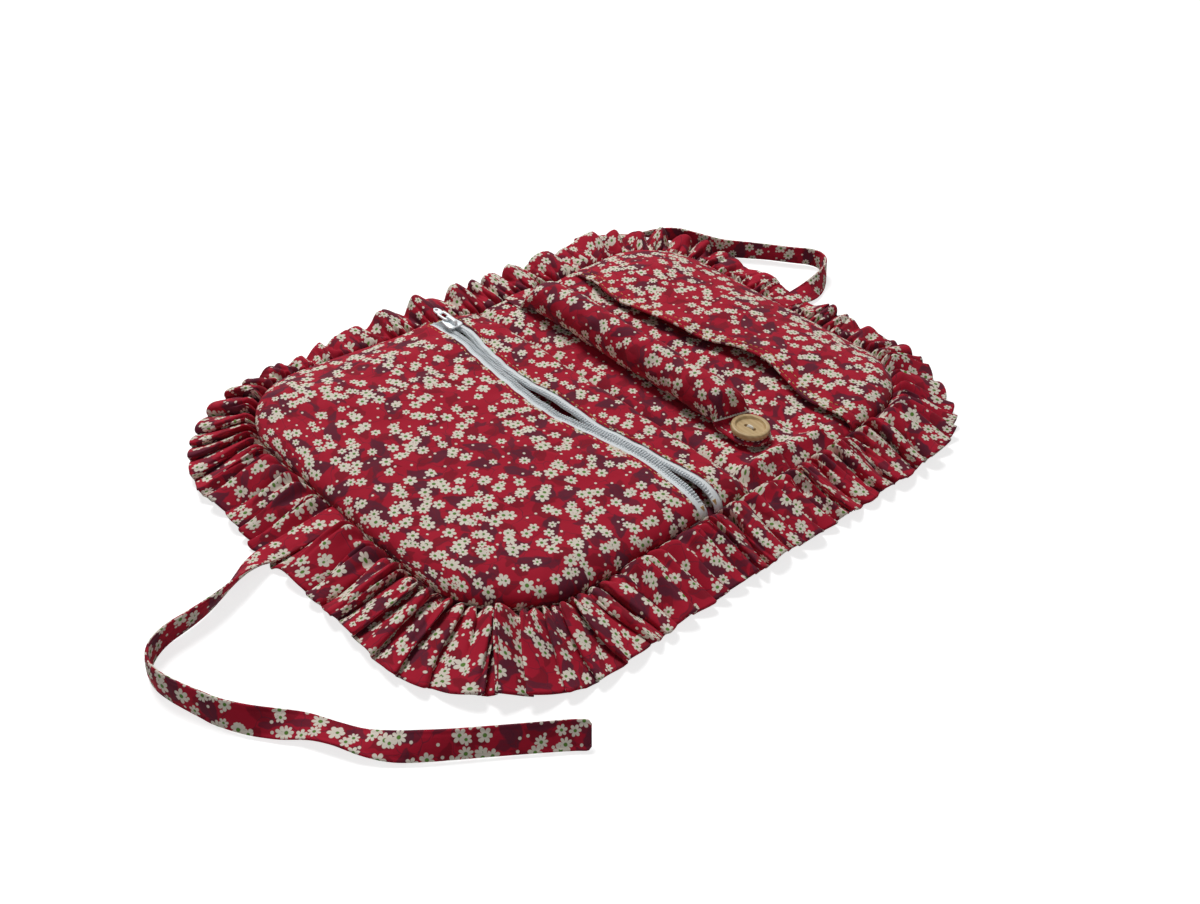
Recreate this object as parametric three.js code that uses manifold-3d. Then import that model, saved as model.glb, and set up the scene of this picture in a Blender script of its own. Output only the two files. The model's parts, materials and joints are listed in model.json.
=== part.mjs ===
// A padded fabric jewelry pouch lying open: a quilted pad with a gathered ruffle, a zip pocket on the front
// half, a stuffed ring roll with a buttoned tab on the spine, a slip pocket on the back half and two ties.
// Millimetres, +Z up, +X from the zip pocket to the slip pocket, underside at z = 0.
import * as THREE from "three";
import { mergeVertices } from "three/addons/utils/BufferGeometryUtils.js";
import Module from "manifold-3d";

const wasm = await Module();
wasm.setup();

// Pad
const PAD_LENGTH = 307;
const PAD_WIDTH = 216;
const CORNER_RADIUS = 52;
const COVER_THICKNESS = 1;
const BATTING_THICKNESS = 5;
const BATTING_INSET = 2;
const LINING_THICKNESS = 0.8;
const FIT_GAP = 0.3; // between sewn pieces that lie on each other

// Folds: the spine between them carries the ring roll
const FRONT_FOLD_X = 7.5; // from the pad's middle
const SPINE_WIDTH = 57;

// Zip pocket
const PANEL_THICKNESS = 1;
const PANEL_EDGE = 0.5; // set back from the pad's edge
const PANEL_SHOULDER = 14; // radius of the plump edge, seen from above
const PANEL_RISE = 8.2; // above its own base at the zip
const PANEL_CROWN = 2.6; // extra rise in the middle of the panel
const CROWN_REACH = 70; // distance over which the crown fades to an edge
const STRIP_SETBACK = 3; // strip's sewn edge to the front fold
const STRIP_SHOULDER = 12;

// Zip
const ZIP_FROM_FOLD = 31;
const ZIP_HEM = 7.2; // hem edge to the zip's centre line
const ZIP_SLIT = 4.8; // open gap between the two coils
const COIL_WIDTH = 1.3;
const COIL_HEIGHT = 1.6;
const TAPE_THICKNESS = 0.6;
const TAPE_UNDER_HEM = 5.5;
const BARTACK_LENGTH = 2.4;
const BARTACK_HEIGHT = 0.8;

// Slider and pull
const SLIDER_LENGTH = 10.5;
const SLIDER_PLATE = 1.2;
const SLIDER_WALL = 0.8;
const RUNNING_GAP = 0.35;
const SLIDER_END_GAP = 2; // slider to the bartack at the end of its travel
const BRIDGE_WIDTH = 2.2;
const BRIDGE_WALL = 1;
const BRIDGE_SPAN = 6; // clear length under the bridge
const PULL_THICKNESS = 1.2;
const PULL_RAIL = 1.2; // width of the eye's bars
const PULL_EYE = 6.8; // clear length of the eye
const PULL_TAIL = 6; // length past the eye
const PULL_TIP = 1.9; // radius of the tail's round tip
const PULL_HOLE_RADIUS = 0.9;

// Slip pocket
const SLIP_MOUTH_FROM_FOLD = 17;
const SLIP_SHOULDER = 12;
const SLIP_RISE = 7.2;
const SLIP_WAVE = 1.1; // rise and fall of the gaping mouth
const SLIP_WAVE_LENGTH = 70;
const SLIP_SWAY = 8; // how far the mouth's edge wanders from a straight line
const SLIP_SWAY_LENGTH = 190;
const SLIP_FADE = 26; // how far in from the mouth the wave and the sway fade

// Ring roll, with its round part tapering to flat sewn ends
const ROLL_RADIUS = 10.5;
const ROLL_COVER = 0.8;
const ROLL_SEWN_INSET = 24; // sewn end to the pad's far side
const ROLL_TAB_INSET = 40; // tab end to the pad's near side
const ROLL_TAPER = 17;
const ROLL_TAB_TAPER = 11; // blunter at the tab
const ROLL_FLAT_HALF = 1; // half thickness of the flat ends
const ANCHOR_THICKNESS = 1.6;
const TAB_THICKNESS = 2;
const TAB_WIDTH = 22;
const TAB_REACH = 12; // straight part of the tab
const STITCH_WIDTH = 0.8;
const STITCH_HEIGHT = 0.5;

// Press stud under the tab
const STUD_RADIUS = 5;
const STUD_HOLE_RADIUS = 2;
const SOCKET_HEIGHT = 1.1;
const STUD_HEAD = 0.8;
const BALL_CLEARANCE = 0.4;

// Wooden button
const BUTTON_RADIUS = 10;
const BUTTON_HEIGHT = 3.8;
const BUTTON_FOOT = 1.4; // slope under the edge
const BUTTON_ROUND = 0.9; // slope over the edge
const BUTTON_RIM = 2.2;
const BUTTON_RIM_FALL = 0.3; // the rim's inner edge below its outer edge
const BUTTON_WELL = 0.8; // slope from the rim into the dish
const BUTTON_DISH = 1.3;
const BUTTON_HOLE_RADIUS = 1.1;
const BUTTON_HOLE_PITCH = 4.6;
const BUTTON_TURN = 97; // degrees from +X to the line through the holes
const THREAD_RADIUS = 0.55;
const THREAD_SIDES = 8;
const THREAD_TOP_SHARE = 0.6; // level part of the thread between the holes

// Ruffle
const RUFFLE_REACH = 30; // mean reach beyond the seam
const RUFFLE_LEAN = 13; // spreads further on the near corner, less on the far one
const RUFFLE_THICKNESS = 1.2;
const RUFFLE_SEAM_Z = 4.2;
const RUFFLE_FLUTE = 4; // mean half height of a flute at the outer edge
const FLUTE_LEAN = 1.5; // flutes lie lower on the near corner and stand higher on the far one
const RUFFLE_PITCH = 17; // seam length of one flute
const RUFFLE_FLOOR = 0.4; // lowest point above the underside
const FLUTE_STEPS = 6;
const FOLD_CALM = 16; // flutes die out over this length beside a fold
const TIE_TROUGH = 9; // half width of the flat place under a tie

// Ties
const TIE_WIDTH = 12;
const TIE_THICKNESS = 1.6;

// Colours seen on the real thing
const RED_PRINT = 0x9c1a2c;
const DEEP_PRINT = 0x7a1526;
const WADDING = 0xe9e4d8;
const ZIP_WHITE = 0xdfe6ea;
const THREAD_WHITE = 0xe8e2d8;
const THREAD_GOLD = 0xa8702c;
const SLIDER_WHITE = 0xd5dde2;
const STUD_STEEL = 0x9aa0a4;
const BUTTON_WOOD = 0xb98d55;

// Levels and lines that the pieces share
const BATTING_Z = COVER_THICKNESS + FIT_GAP;
const LINING_Z = BATTING_Z + BATTING_THICKNESS + FIT_GAP;
const LINING_TOP = LINING_Z + LINING_THICKNESS;
const SEAT_Z = LINING_TOP + FIT_GAP;
const HALF_LENGTH = PAD_LENGTH / 2;
const HALF_WIDTH = PAD_WIDTH / 2;
const BACK_FOLD_X = FRONT_FOLD_X + SPINE_WIDTH;
const ROLL_X = FRONT_FOLD_X + SPINE_WIDTH / 2;
const ROLL_SEWN_Y = HALF_WIDTH - ROLL_SEWN_INSET;
const ROLL_TAB_Y = ROLL_TAB_INSET - HALF_WIDTH;
const SLIP_MOUTH_X = BACK_FOLD_X + SLIP_MOUTH_FROM_FOLD;
const ZIP_X = FRONT_FOLD_X - ZIP_FROM_FOLD;
const TAPE_HALF = HALF_WIDTH - PANEL_EDGE - PANEL_THICKNESS;
const TAPE_TOP = SEAT_Z + PANEL_RISE - PANEL_THICKNESS - FIT_GAP;
const COIL_Z = TAPE_TOP + FIT_GAP;
const COIL_TOP = COIL_Z + COIL_HEIGHT;
const COIL_OUTER = ZIP_SLIT / 2 + COIL_WIDTH;
const NEAR = new THREE.Vector2(-Math.SQRT1_2, -Math.SQRT1_2);

const pouch = new THREE.Group();

const smooth = (t) => THREE.MathUtils.smoothstep(t, 0, 1);
// Quarter-round rise from 0 at an edge to 1 at the given radius from it
const shoulder = (distance, radius) => {
  const t = 1 - Math.min(Math.max(distance / radius, 0), 1);
  return Math.sqrt(1 - t * t);
};

function fabric(color, roughness = 0.9) {
  return new THREE.MeshStandardMaterial({ color, roughness, metalness: 0 });
}

function metal(color) {
  return new THREE.MeshStandardMaterial({ color, roughness: 0.35, metalness: 0.8 });
}

function add(name, geometry, material) {
  const mesh = new THREE.Mesh(geometry, material);
  mesh.name = name;
  pouch.add(mesh);
}

// A closed body from shared vertices, turned so that its faces point out
function body(vertices, triangles) {
  const [a, b, c] = [new THREE.Vector3(), new THREE.Vector3(), new THREE.Vector3()];
  let volume = 0;
  for (const [i, j, k] of triangles) {
    a.set(...vertices[i]);
    b.set(...vertices[j]);
    c.set(...vertices[k]);
    volume += a.dot(b.cross(c));
  }
  const outward = volume < 0 ? triangles.map(([i, j, k]) => [i, k, j]) : triangles;
  const geometry = new THREE.BufferGeometry();
  geometry.setAttribute("position", new THREE.Float32BufferAttribute(vertices.flat(), 3));
  geometry.setIndex(outward.flat());
  geometry.computeVertexNormals();
  return geometry;
}

const quad = (a, b, c, d) => [[a, b, c], [a, c, d]];

// A cloth-like body between an upper and a lower grid of points, closed round its four edges
function sheet(upper, lower) {
  const rows = upper.length;
  const columns = upper[0].length;
  const at = (side, i, j) => (side * rows + i) * columns + j;
  const triangles = [];
  for (let i = 0; i + 1 < rows; i++) {
    for (let j = 0; j + 1 < columns; j++) {
      triangles.push(...quad(at(0, i, j), at(0, i + 1, j), at(0, i + 1, j + 1), at(0, i, j + 1)));
      triangles.push(...quad(at(1, i, j), at(1, i, j + 1), at(1, i + 1, j + 1), at(1, i + 1, j)));
    }
    const last = columns - 1;
    triangles.push(...quad(at(0, i, 0), at(1, i, 0), at(1, i + 1, 0), at(0, i + 1, 0)));
    triangles.push(...quad(at(0, i, last), at(0, i + 1, last), at(1, i + 1, last), at(1, i, last)));
  }
  for (let j = 0; j + 1 < columns; j++) {
    const last = rows - 1;
    triangles.push(...quad(at(0, 0, j), at(0, 0, j + 1), at(1, 0, j + 1), at(1, 0, j)));
    triangles.push(...quad(at(0, last, j), at(1, last, j), at(1, last, j + 1), at(0, last, j + 1)));
  }
  return body([...upper.flat(), ...lower.flat()], triangles);
}

// A body through closed rings of points, with a fan over each end
function loft(rings) {
  const count = rings[0].length;
  const vertices = rings.flat();
  const triangles = [];
  for (let i = 0; i + 1 < rings.length; i++) {
    for (let j = 0; j < count; j++) {
      const next = (j + 1) % count;
      triangles.push(...quad(i * count + j, i * count + next, (i + 1) * count + next, (i + 1) * count + j));
    }
  }
  const ends = [[rings[0], 0, true], [rings.at(-1), (rings.length - 1) * count, false]];
  for (const [ring, start, turned] of ends) {
    const middle = [0, 1, 2].map((k) => ring.reduce((sum, p) => sum + p[k], 0) / count);
    const centre = vertices.push(middle) - 1;
    for (let j = 0; j < count; j++) {
      const edge = [start + j, start + ((j + 1) % count)];
      triangles.push(turned ? [centre, edge[1], edge[0]] : [centre, edge[0], edge[1]]);
    }
  }
  return body(vertices, triangles);
}

// An open-ended tube between outer and inner rings
function tube(outer, inner) {
  const count = outer[0].length;
  const rows = outer.length;
  const loop = [...outer, ...[...inner].reverse()];
  const triangles = [];
  for (let i = 0; i < 2 * rows; i++) {
    const below = ((i + 1) % (2 * rows)) * count;
    for (let j = 0; j < count; j++) {
      const next = (j + 1) % count;
      triangles.push(...quad(i * count + j, i * count + next, below + next, below + j));
    }
  }
  return body(loop.flat(), triangles);
}

// A flat outline given height, standing on z
function plate(shape, z, height, curveSegments = 10) {
  const geometry = new THREE.ExtrudeGeometry(shape, { depth: height, bevelEnabled: false, curveSegments });
  return geometry.translate(0, 0, z);
}

function block(x0, x1, y0, y1, z0, z1) {
  const geometry = new THREE.BoxGeometry(x1 - x0, y1 - y0, z1 - z0);
  return geometry.translate((x0 + x1) / 2, (y0 + y1) / 2, (z0 + z1) / 2);
}

// A profile of [radius, z] pairs turned about the vertical at x, y
function turned(profile, x, y, segments = 24) {
  const points = profile.map(([r, z]) => new THREE.Vector2(r, z));
  const geometry = new THREE.LatheGeometry(points, segments).rotateX(Math.PI / 2);
  return geometry.translate(x, y, 0);
}

function manifoldOf(geometry) {
  const bare = geometry.clone();
  bare.deleteAttribute("normal");
  bare.deleteAttribute("uv");
  const merged = mergeVertices(bare, 1e-4);
  const mesh = new wasm.Mesh({
    numProp: 3,
    vertProperties: new Float32Array(merged.attributes.position.array),
    triVerts: new Uint32Array(merged.index.array),
  });
  return new wasm.Manifold(mesh);
}

function geometryOf(manifold) {
  const mesh = manifold.getMesh();
  const geometry = new THREE.BufferGeometry();
  geometry.setAttribute("position", new THREE.BufferAttribute(new Float32Array(mesh.vertProperties), 3));
  geometry.setIndex(Array.from(mesh.triVerts));
  geometry.computeVertexNormals();
  return geometry;
}

const joined = (first, ...rest) =>
  geometryOf(rest.reduce((sum, piece) => sum.add(manifoldOf(piece)), manifoldOf(first)));
const cut = (first, ...rest) =>
  geometryOf(rest.reduce((left, piece) => left.subtract(manifoldOf(piece)), manifoldOf(first)));

// How far a place on the pad lies inside its rounded edge
function edgeDistance(x, y) {
  const qx = Math.abs(x) - (HALF_LENGTH - CORNER_RADIUS);
  const qy = Math.abs(y) - (HALF_WIDTH - CORNER_RADIUS);
  const outside = Math.hypot(Math.max(qx, 0), Math.max(qy, 0));
  return CORNER_RADIUS - outside - Math.min(Math.max(qx, qy), 0);
}

// Half the pad's width at x, with its edge set in by inset
function halfWidth(x, inset) {
  const past = Math.max(Math.abs(x) - (HALF_LENGTH - CORNER_RADIUS), 0);
  const radius = CORNER_RADIUS - inset;
  return HALF_WIDTH - CORNER_RADIUS + Math.sqrt(Math.max(radius * radius - past * past, 0));
}

// Plan outline of one end of the pad, from the fold line at x to the rounded end on the given side
function endOutline(side, foldX, inset) {
  const shape = new THREE.Shape();
  const radius = CORNER_RADIUS - inset;
  const centreX = side * (HALF_LENGTH - CORNER_RADIUS);
  const centreY = HALF_WIDTH - CORNER_RADIUS;
  const start = foldX + side * FIT_GAP;
  shape.moveTo(start, -side * (HALF_WIDTH - inset));
  shape.lineTo(centreX, -side * (HALF_WIDTH - inset));
  shape.absarc(centreX, -side * centreY, radius, (-side * Math.PI) / 2, side < 0 ? Math.PI : 0, false);
  const [from, to] = side < 0 ? [Math.PI, 1.5 * Math.PI] : [0, Math.PI / 2];
  shape.absarc(centreX, side * centreY, radius, from, to, false);
  shape.lineTo(start, side * (HALF_WIDTH - inset));
  shape.closePath();
  return shape;
}

function spineOutline(inset) {
  const shape = new THREE.Shape();
  const [x0, x1] = [FRONT_FOLD_X + FIT_GAP, BACK_FOLD_X - FIT_GAP];
  const y = HALF_WIDTH - inset;
  shape.moveTo(x0, -y);
  shape.lineTo(x1, -y);
  shape.lineTo(x1, y);
  shape.lineTo(x0, y);
  shape.closePath();
  return shape;
}

// Pad: outer cover, batting and lining in three sections that meet at the folds
function addPad() {
  const sections = [
    ["front", (inset) => endOutline(-1, FRONT_FOLD_X, inset)],
    ["spine", spineOutline],
    ["back", (inset) => endOutline(1, BACK_FOLD_X, inset)],
  ];
  for (const [name, outline] of sections) {
    add(`${name}_outer_cover`, plate(outline(0), 0, COVER_THICKNESS), fabric(DEEP_PRINT));
    add(`${name}_batting`, plate(outline(BATTING_INSET), BATTING_Z, BATTING_THICKNESS), fabric(WADDING, 1));
    add(`${name}_lining`, plate(outline(0), LINING_Z, LINING_THICKNESS), fabric(RED_PRINT));
  }
}

// Places across a panel, close together near its two edges; up to the straight share it is level along a hem
const STRAIGHT_SHARE = 0.86;
const ACROSS = [0, 0.25, 0.5, 0.7, STRAIGHT_SHARE, 0.92, 0.96, 0.985, 1];
const acrossBoth = [...ACROSS.slice(1).map((t) => -t).reverse(), ...ACROSS];

// Rows of x from the pad's rounded end to a straight edge, close together round the corners
function panelRows(side, inset, edgeX, cornerSteps = 6, straightSteps = 6) {
  const centre = HALF_LENGTH - CORNER_RADIUS;
  const radius = CORNER_RADIUS - inset;
  const rows = [];
  for (let k = 0; k <= cornerSteps; k++) {
    rows.push(side * (centre + radius * Math.cos((k / cornerSteps) * Math.PI / 2)));
  }
  for (let k = 1; k <= straightSteps; k++) {
    rows.push(THREE.MathUtils.lerp(side * centre, edgeX, k / straightSteps));
  }
  return rows;
}

// A pocket's top: rises from the sewn edge in a plump shoulder
// rise(x, y) is its height and shift(x, y) moves it along x
function pocketTop(rowsAt, widthAt, rise, shift = () => 0) {
  const surface = (inset, drop) =>
    rowsAt(inset).map((x) =>
      acrossBoth.map((t) => {
        const y = t * widthAt(x, inset);
        return [x + shift(x, y), y, SEAT_Z + rise(x, y, inset, drop)];
      }),
    );
  return sheet(surface(PANEL_EDGE, 0), surface(PANEL_EDGE + PANEL_THICKNESS, PANEL_THICKNESS));
}

function addZipPocket() {
  const hemFront = ZIP_X - ZIP_HEM;
  const hemRear = ZIP_X + ZIP_HEM;
  const panelRise = (x, y, inset, drop) => {
    const inside = edgeDistance(x, y) - inset;
    const fromZip = Math.max(hemFront - x, 0);
    const crown = PANEL_CROWN * smooth(inside / CROWN_REACH) * smooth(fromZip / CROWN_REACH);
    return (PANEL_RISE + crown - drop) * shoulder(inside, PANEL_SHOULDER);
  };
  const panel = pocketTop((inset) => panelRows(-1, inset, hemFront), halfWidth, panelRise);
  add("zip_panel", panel, fabric(RED_PRINT));

  const sewnX = FRONT_FOLD_X - STRIP_SETBACK;
  const stripRows = (inset) => {
    const start = sewnX - (inset - PANEL_EDGE);
    return [0, 0.06, 0.2, 0.4, 0.65, 1].map((t) => THREE.MathUtils.lerp(start, hemRear, t));
  };
  const stripRise = (x, y, inset, drop) => {
    const fromSide = edgeDistance(x, y) - inset;
    const fromFold = sewnX - (inset - PANEL_EDGE) - x;
    return (PANEL_RISE - drop) * shoulder(fromSide, PANEL_SHOULDER) * shoulder(fromFold, STRIP_SHOULDER);
  };
  add("zip_strip", pocketTop(stripRows, (x, inset) => HALF_WIDTH - inset, stripRise), fabric(RED_PRINT));
}

// Height of the zip's tape under the hems, which follows the panel down at both ends
function tapeTop(y) {
  const rise = (PANEL_RISE - PANEL_THICKNESS) * shoulder(TAPE_HALF - Math.abs(y), PANEL_SHOULDER);
  return SEAT_Z + rise - FIT_GAP;
}

const BARTACK_Y = STRAIGHT_SHARE * TAPE_HALF;
const COIL_END_Y = BARTACK_Y + BARTACK_LENGTH;
const SLIDER_Y = BARTACK_Y - SLIDER_END_GAP - SLIDER_LENGTH / 2;

function addZip() {
  const along = acrossBoth.slice(1, -1).map((t) => t * TAPE_HALF);
  for (const [name, side] of [["front", -1], ["rear", 1]]) {
    const edges = [ZIP_SLIT / 2, ZIP_HEM + TAPE_UNDER_HEM].map((d) => ZIP_X + side * d);
    const tape = (down) => along.map((y) => edges.map((x) => [x, y, tapeTop(y) - down]));
    add(`zip_tape_${name}`, sheet(tape(0), tape(TAPE_THICKNESS)), fabric(ZIP_WHITE, 0.8));
    const [x0, x1] = [ZIP_SLIT / 2, COIL_OUTER].map((d) => ZIP_X + side * d).sort((a, b) => a - b);
    const row = block(x0, x1, -COIL_END_Y, COIL_END_Y, COIL_Z, COIL_TOP);
    add(`zip_coil_${name}`, row, fabric(ZIP_WHITE, 0.5));
  }
  for (const [name, side] of [["far", 1], ["near", -1]]) {
    const [y0, y1] = [BARTACK_Y, BARTACK_Y + BARTACK_LENGTH].map((y) => side * y).sort((a, b) => a - b);
    const z = COIL_TOP + FIT_GAP;
    const tack = block(ZIP_X - COIL_OUTER, ZIP_X + COIL_OUTER, y0, y1, z, z + BARTACK_HEIGHT);
    add(`zip_bartack_${name}`, tack, fabric(THREAD_GOLD));
  }
}

// Slider: two plates joined by a web between the coils, side walls over the coils and a bridge for the pull
function addSlider() {
  const half = COIL_OUTER + RUNNING_GAP + SLIDER_WALL;
  const web = ZIP_SLIT / 2 - RUNNING_GAP;
  const topZ = COIL_TOP + RUNNING_GAP;
  const plateTop = topZ + SLIDER_PLATE;
  const underZ = TAPE_TOP - TAPE_THICKNESS - RUNNING_GAP;
  const wallZ = TAPE_TOP + RUNNING_GAP;
  const section = new THREE.Shape();
  const points = [
    [-half, wallZ], [-half + SLIDER_WALL, wallZ], [-half + SLIDER_WALL, topZ], [-web, topZ], [-web, underZ],
    [-half, underZ], [-half, underZ - SLIDER_PLATE], [half, underZ - SLIDER_PLATE], [half, underZ],
    [web, underZ], [web, topZ], [half - SLIDER_WALL, topZ], [half - SLIDER_WALL, wallZ], [half, wallZ],
    [half, plateTop], [-half, plateTop],
  ];
  points.forEach(([x, z], k) => (k ? section.lineTo(x, z) : section.moveTo(x, z)));
  section.closePath();
  const channel = plate(section, -SLIDER_LENGTH / 2, SLIDER_LENGTH).rotateX(Math.PI / 2);

  const legs = BRIDGE_SPAN / 2 + BRIDGE_WALL;
  const headroom = PULL_THICKNESS + 2 * RUNNING_GAP;
  const bridge = new THREE.Shape();
  const sunk = plateTop - SLIDER_PLATE / 2;
  const arch = [
    [-legs, sunk], [-legs + BRIDGE_WALL, sunk], [-legs + BRIDGE_WALL, plateTop + headroom],
    [legs - BRIDGE_WALL, plateTop + headroom], [legs - BRIDGE_WALL, sunk], [legs, sunk],
    [legs, plateTop + headroom + BRIDGE_WALL], [-legs, plateTop + headroom + BRIDGE_WALL],
  ];
  arch.forEach(([y, z], k) => (k ? bridge.lineTo(y, z) : bridge.moveTo(y, z)));
  bridge.closePath();
  const loop = plate(bridge, -BRIDGE_WIDTH / 2, BRIDGE_WIDTH).rotateX(Math.PI / 2).rotateZ(Math.PI / 2);
  const geometry = joined(channel, loop);
  add("zip_slider", geometry.translate(ZIP_X, SLIDER_Y, 0), metal(SLIDER_WHITE));

  const barY = SLIDER_Y + BRIDGE_SPAN / 2 - RUNNING_GAP - PULL_RAIL / 2;
  const barZ = plateTop + RUNNING_GAP;
  add("zip_pull", pullTab().translate(ZIP_X, barY, barZ), metal(SLIDER_WHITE));
}

// Pull: a bar under the bridge, an eye that passes round it and a tail that narrows to a pierced round tip
function pullTab() {
  const inner = BRIDGE_WIDTH / 2 + RUNNING_GAP;
  const outer = inner + PULL_RAIL;
  const barHalf = PULL_RAIL / 2;
  const eyeEnd = barHalf + PULL_EYE;
  const tailEnd = eyeEnd + PULL_TAIL;
  const outline = new THREE.Shape();
  outline.moveTo(-outer, -barHalf);
  outline.lineTo(outer, -barHalf);
  outline.lineTo(outer, eyeEnd);
  outline.lineTo(PULL_TIP, tailEnd - PULL_TIP);
  outline.absarc(0, tailEnd - PULL_TIP, PULL_TIP, 0, Math.PI, false);
  outline.lineTo(-outer, eyeEnd);
  outline.closePath();
  const eye = new THREE.Path();
  eye.moveTo(-inner, barHalf);
  eye.lineTo(inner, barHalf);
  eye.lineTo(inner, eyeEnd);
  eye.lineTo(-inner, eyeEnd);
  eye.closePath();
  const hole = new THREE.Path();
  hole.absarc(0, tailEnd - PULL_TIP, PULL_HOLE_RADIUS, 0, 2 * Math.PI, false);
  outline.holes.push(eye, hole);
  return plate(outline, 0, PULL_THICKNESS, 6);
}

// Slip pocket: its mouth gapes in waves and wanders in plan, and both fade away from the mouth
function addSlipPocket() {
  const fade = (x) => 1 - smooth((x - SLIP_MOUTH_X) / SLIP_FADE);
  const rise = (x, y, inset, drop) => {
    const inside = edgeDistance(x, y) - inset;
    const gape = SLIP_WAVE * Math.cos((2 * Math.PI * y) / SLIP_WAVE_LENGTH);
    return (SLIP_RISE + gape * fade(x) - drop) * shoulder(inside, SLIP_SHOULDER);
  };
  const sway = (x, y) => -SLIP_SWAY * fade(x) * Math.sin((2 * Math.PI * y) / SLIP_SWAY_LENGTH);
  const top = pocketTop((inset) => panelRows(1, inset, SLIP_MOUTH_X), halfWidth, rise, sway);
  add("slip_pocket_panel", top, fabric(RED_PRINT));
}

// Ring roll sections: half height and underside at y
function rollSection(y) {
  const fromSewn = ROLL_SEWN_Y - y;
  const fromTab = y - ROLL_TAB_Y;
  const round = Math.min(shoulder(fromSewn, ROLL_TAPER), shoulder(fromTab, ROLL_TAB_TAPER));
  const half = THREE.MathUtils.lerp(ROLL_FLAT_HALF, ROLL_RADIUS, round);
  const lifted = (tabBase() - SEAT_Z) * (1 - smooth(fromTab / ROLL_TAB_TAPER));
  return { half, under: SEAT_Z + lifted };
}

const tabBase = () => SEAT_Z + SOCKET_HEIGHT + FIT_GAP + STUD_HEAD + FIT_GAP;
const ROLL_SIDES = 16;

function rollRing(y, wall) {
  const { half, under } = rollSection(y);
  const ring = [];
  for (let k = 0; k < ROLL_SIDES; k++) {
    const angle = (2 * Math.PI * k) / ROLL_SIDES;
    const x = ROLL_X + (ROLL_RADIUS - wall) * Math.cos(angle);
    ring.push([x, y, under + half + (half - wall) * Math.sin(angle)]);
  }
  return ring;
}

function addRingRoll() {
  const steps = [0, 0.04, 0.12, 0.26, 0.45, 0.7, 1];
  const sewnEnd = steps.map((t) => ROLL_SEWN_Y - t * ROLL_TAPER);
  const tabEnd = steps.map((t) => ROLL_TAB_Y + t * ROLL_TAB_TAPER).reverse();
  const stations = [...sewnEnd, (sewnEnd.at(-1) + tabEnd[0]) / 2, ...tabEnd];
  const outer = stations.map((y) => rollRing(y, 0));
  const inner = stations.map((y) => rollRing(y, ROLL_COVER));
  add("ring_roll_cover", tube(outer, inner), fabric(RED_PRINT));
  const filled = stations.slice(3, -3).map((y) => rollRing(y, ROLL_COVER + FIT_GAP));
  add("ring_roll_stuffing", loft(filled), fabric(WADDING, 1));

  const anchorEnd = HALF_WIDTH - PANEL_EDGE;
  const anchorX = [ROLL_X - ROLL_RADIUS, ROLL_X + ROLL_RADIUS];
  const anchor = block(...anchorX, ROLL_SEWN_Y + FIT_GAP, anchorEnd, SEAT_Z, SEAT_Z + ANCHOR_THICKNESS);
  add("ring_roll_anchor", anchor, fabric(DEEP_PRINT));

  const base = tabBase();
  const startY = ROLL_TAB_Y - FIT_GAP;
  const buttonY = startY - TAB_REACH;
  const outline = new THREE.Shape();
  outline.moveTo(ROLL_X + TAB_WIDTH / 2, startY);
  outline.lineTo(ROLL_X - TAB_WIDTH / 2, startY);
  outline.absarc(ROLL_X, buttonY, TAB_WIDTH / 2, Math.PI, 2 * Math.PI, false);
  outline.closePath();
  add("ring_roll_tab", plate(outline, base, TAB_THICKNESS), fabric(DEEP_PRINT));

  const tabTop = base + TAB_THICKNESS + FIT_GAP;
  const stitchX = [ROLL_X - TAB_WIDTH / 2, ROLL_X + TAB_WIDTH / 2];
  const stitch = block(...stitchX, startY - STITCH_WIDTH, startY, tabTop, tabTop + STITCH_HEIGHT);
  add("ring_roll_end_stitch", stitch, fabric(THREAD_WHITE));
  addPressStud(buttonY, base);
  addButton(buttonY, tabTop);
}

function addPressStud(y, underTab) {
  const socket = [
    [STUD_HOLE_RADIUS, SEAT_Z], [STUD_RADIUS, SEAT_Z], [STUD_RADIUS, SEAT_Z + SOCKET_HEIGHT],
    [STUD_HOLE_RADIUS, SEAT_Z + SOCKET_HEIGHT], [STUD_HOLE_RADIUS, SEAT_Z],
  ];
  add("press_stud_socket", turned(socket, ROLL_X, y), metal(STUD_STEEL));
  const headTop = underTab - FIT_GAP;
  const headZ = headTop - STUD_HEAD;
  const ballRadius = STUD_HOLE_RADIUS - BALL_CLEARANCE;
  const ball = [
    [0, SEAT_Z + FIT_GAP], [ballRadius, SEAT_Z + FIT_GAP], [ballRadius, headZ], [STUD_RADIUS, headZ],
    [STUD_RADIUS, headTop], [0, headTop],
  ];
  add("press_stud_ball", turned(ball, ROLL_X, y), metal(STUD_STEEL));
}

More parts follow.
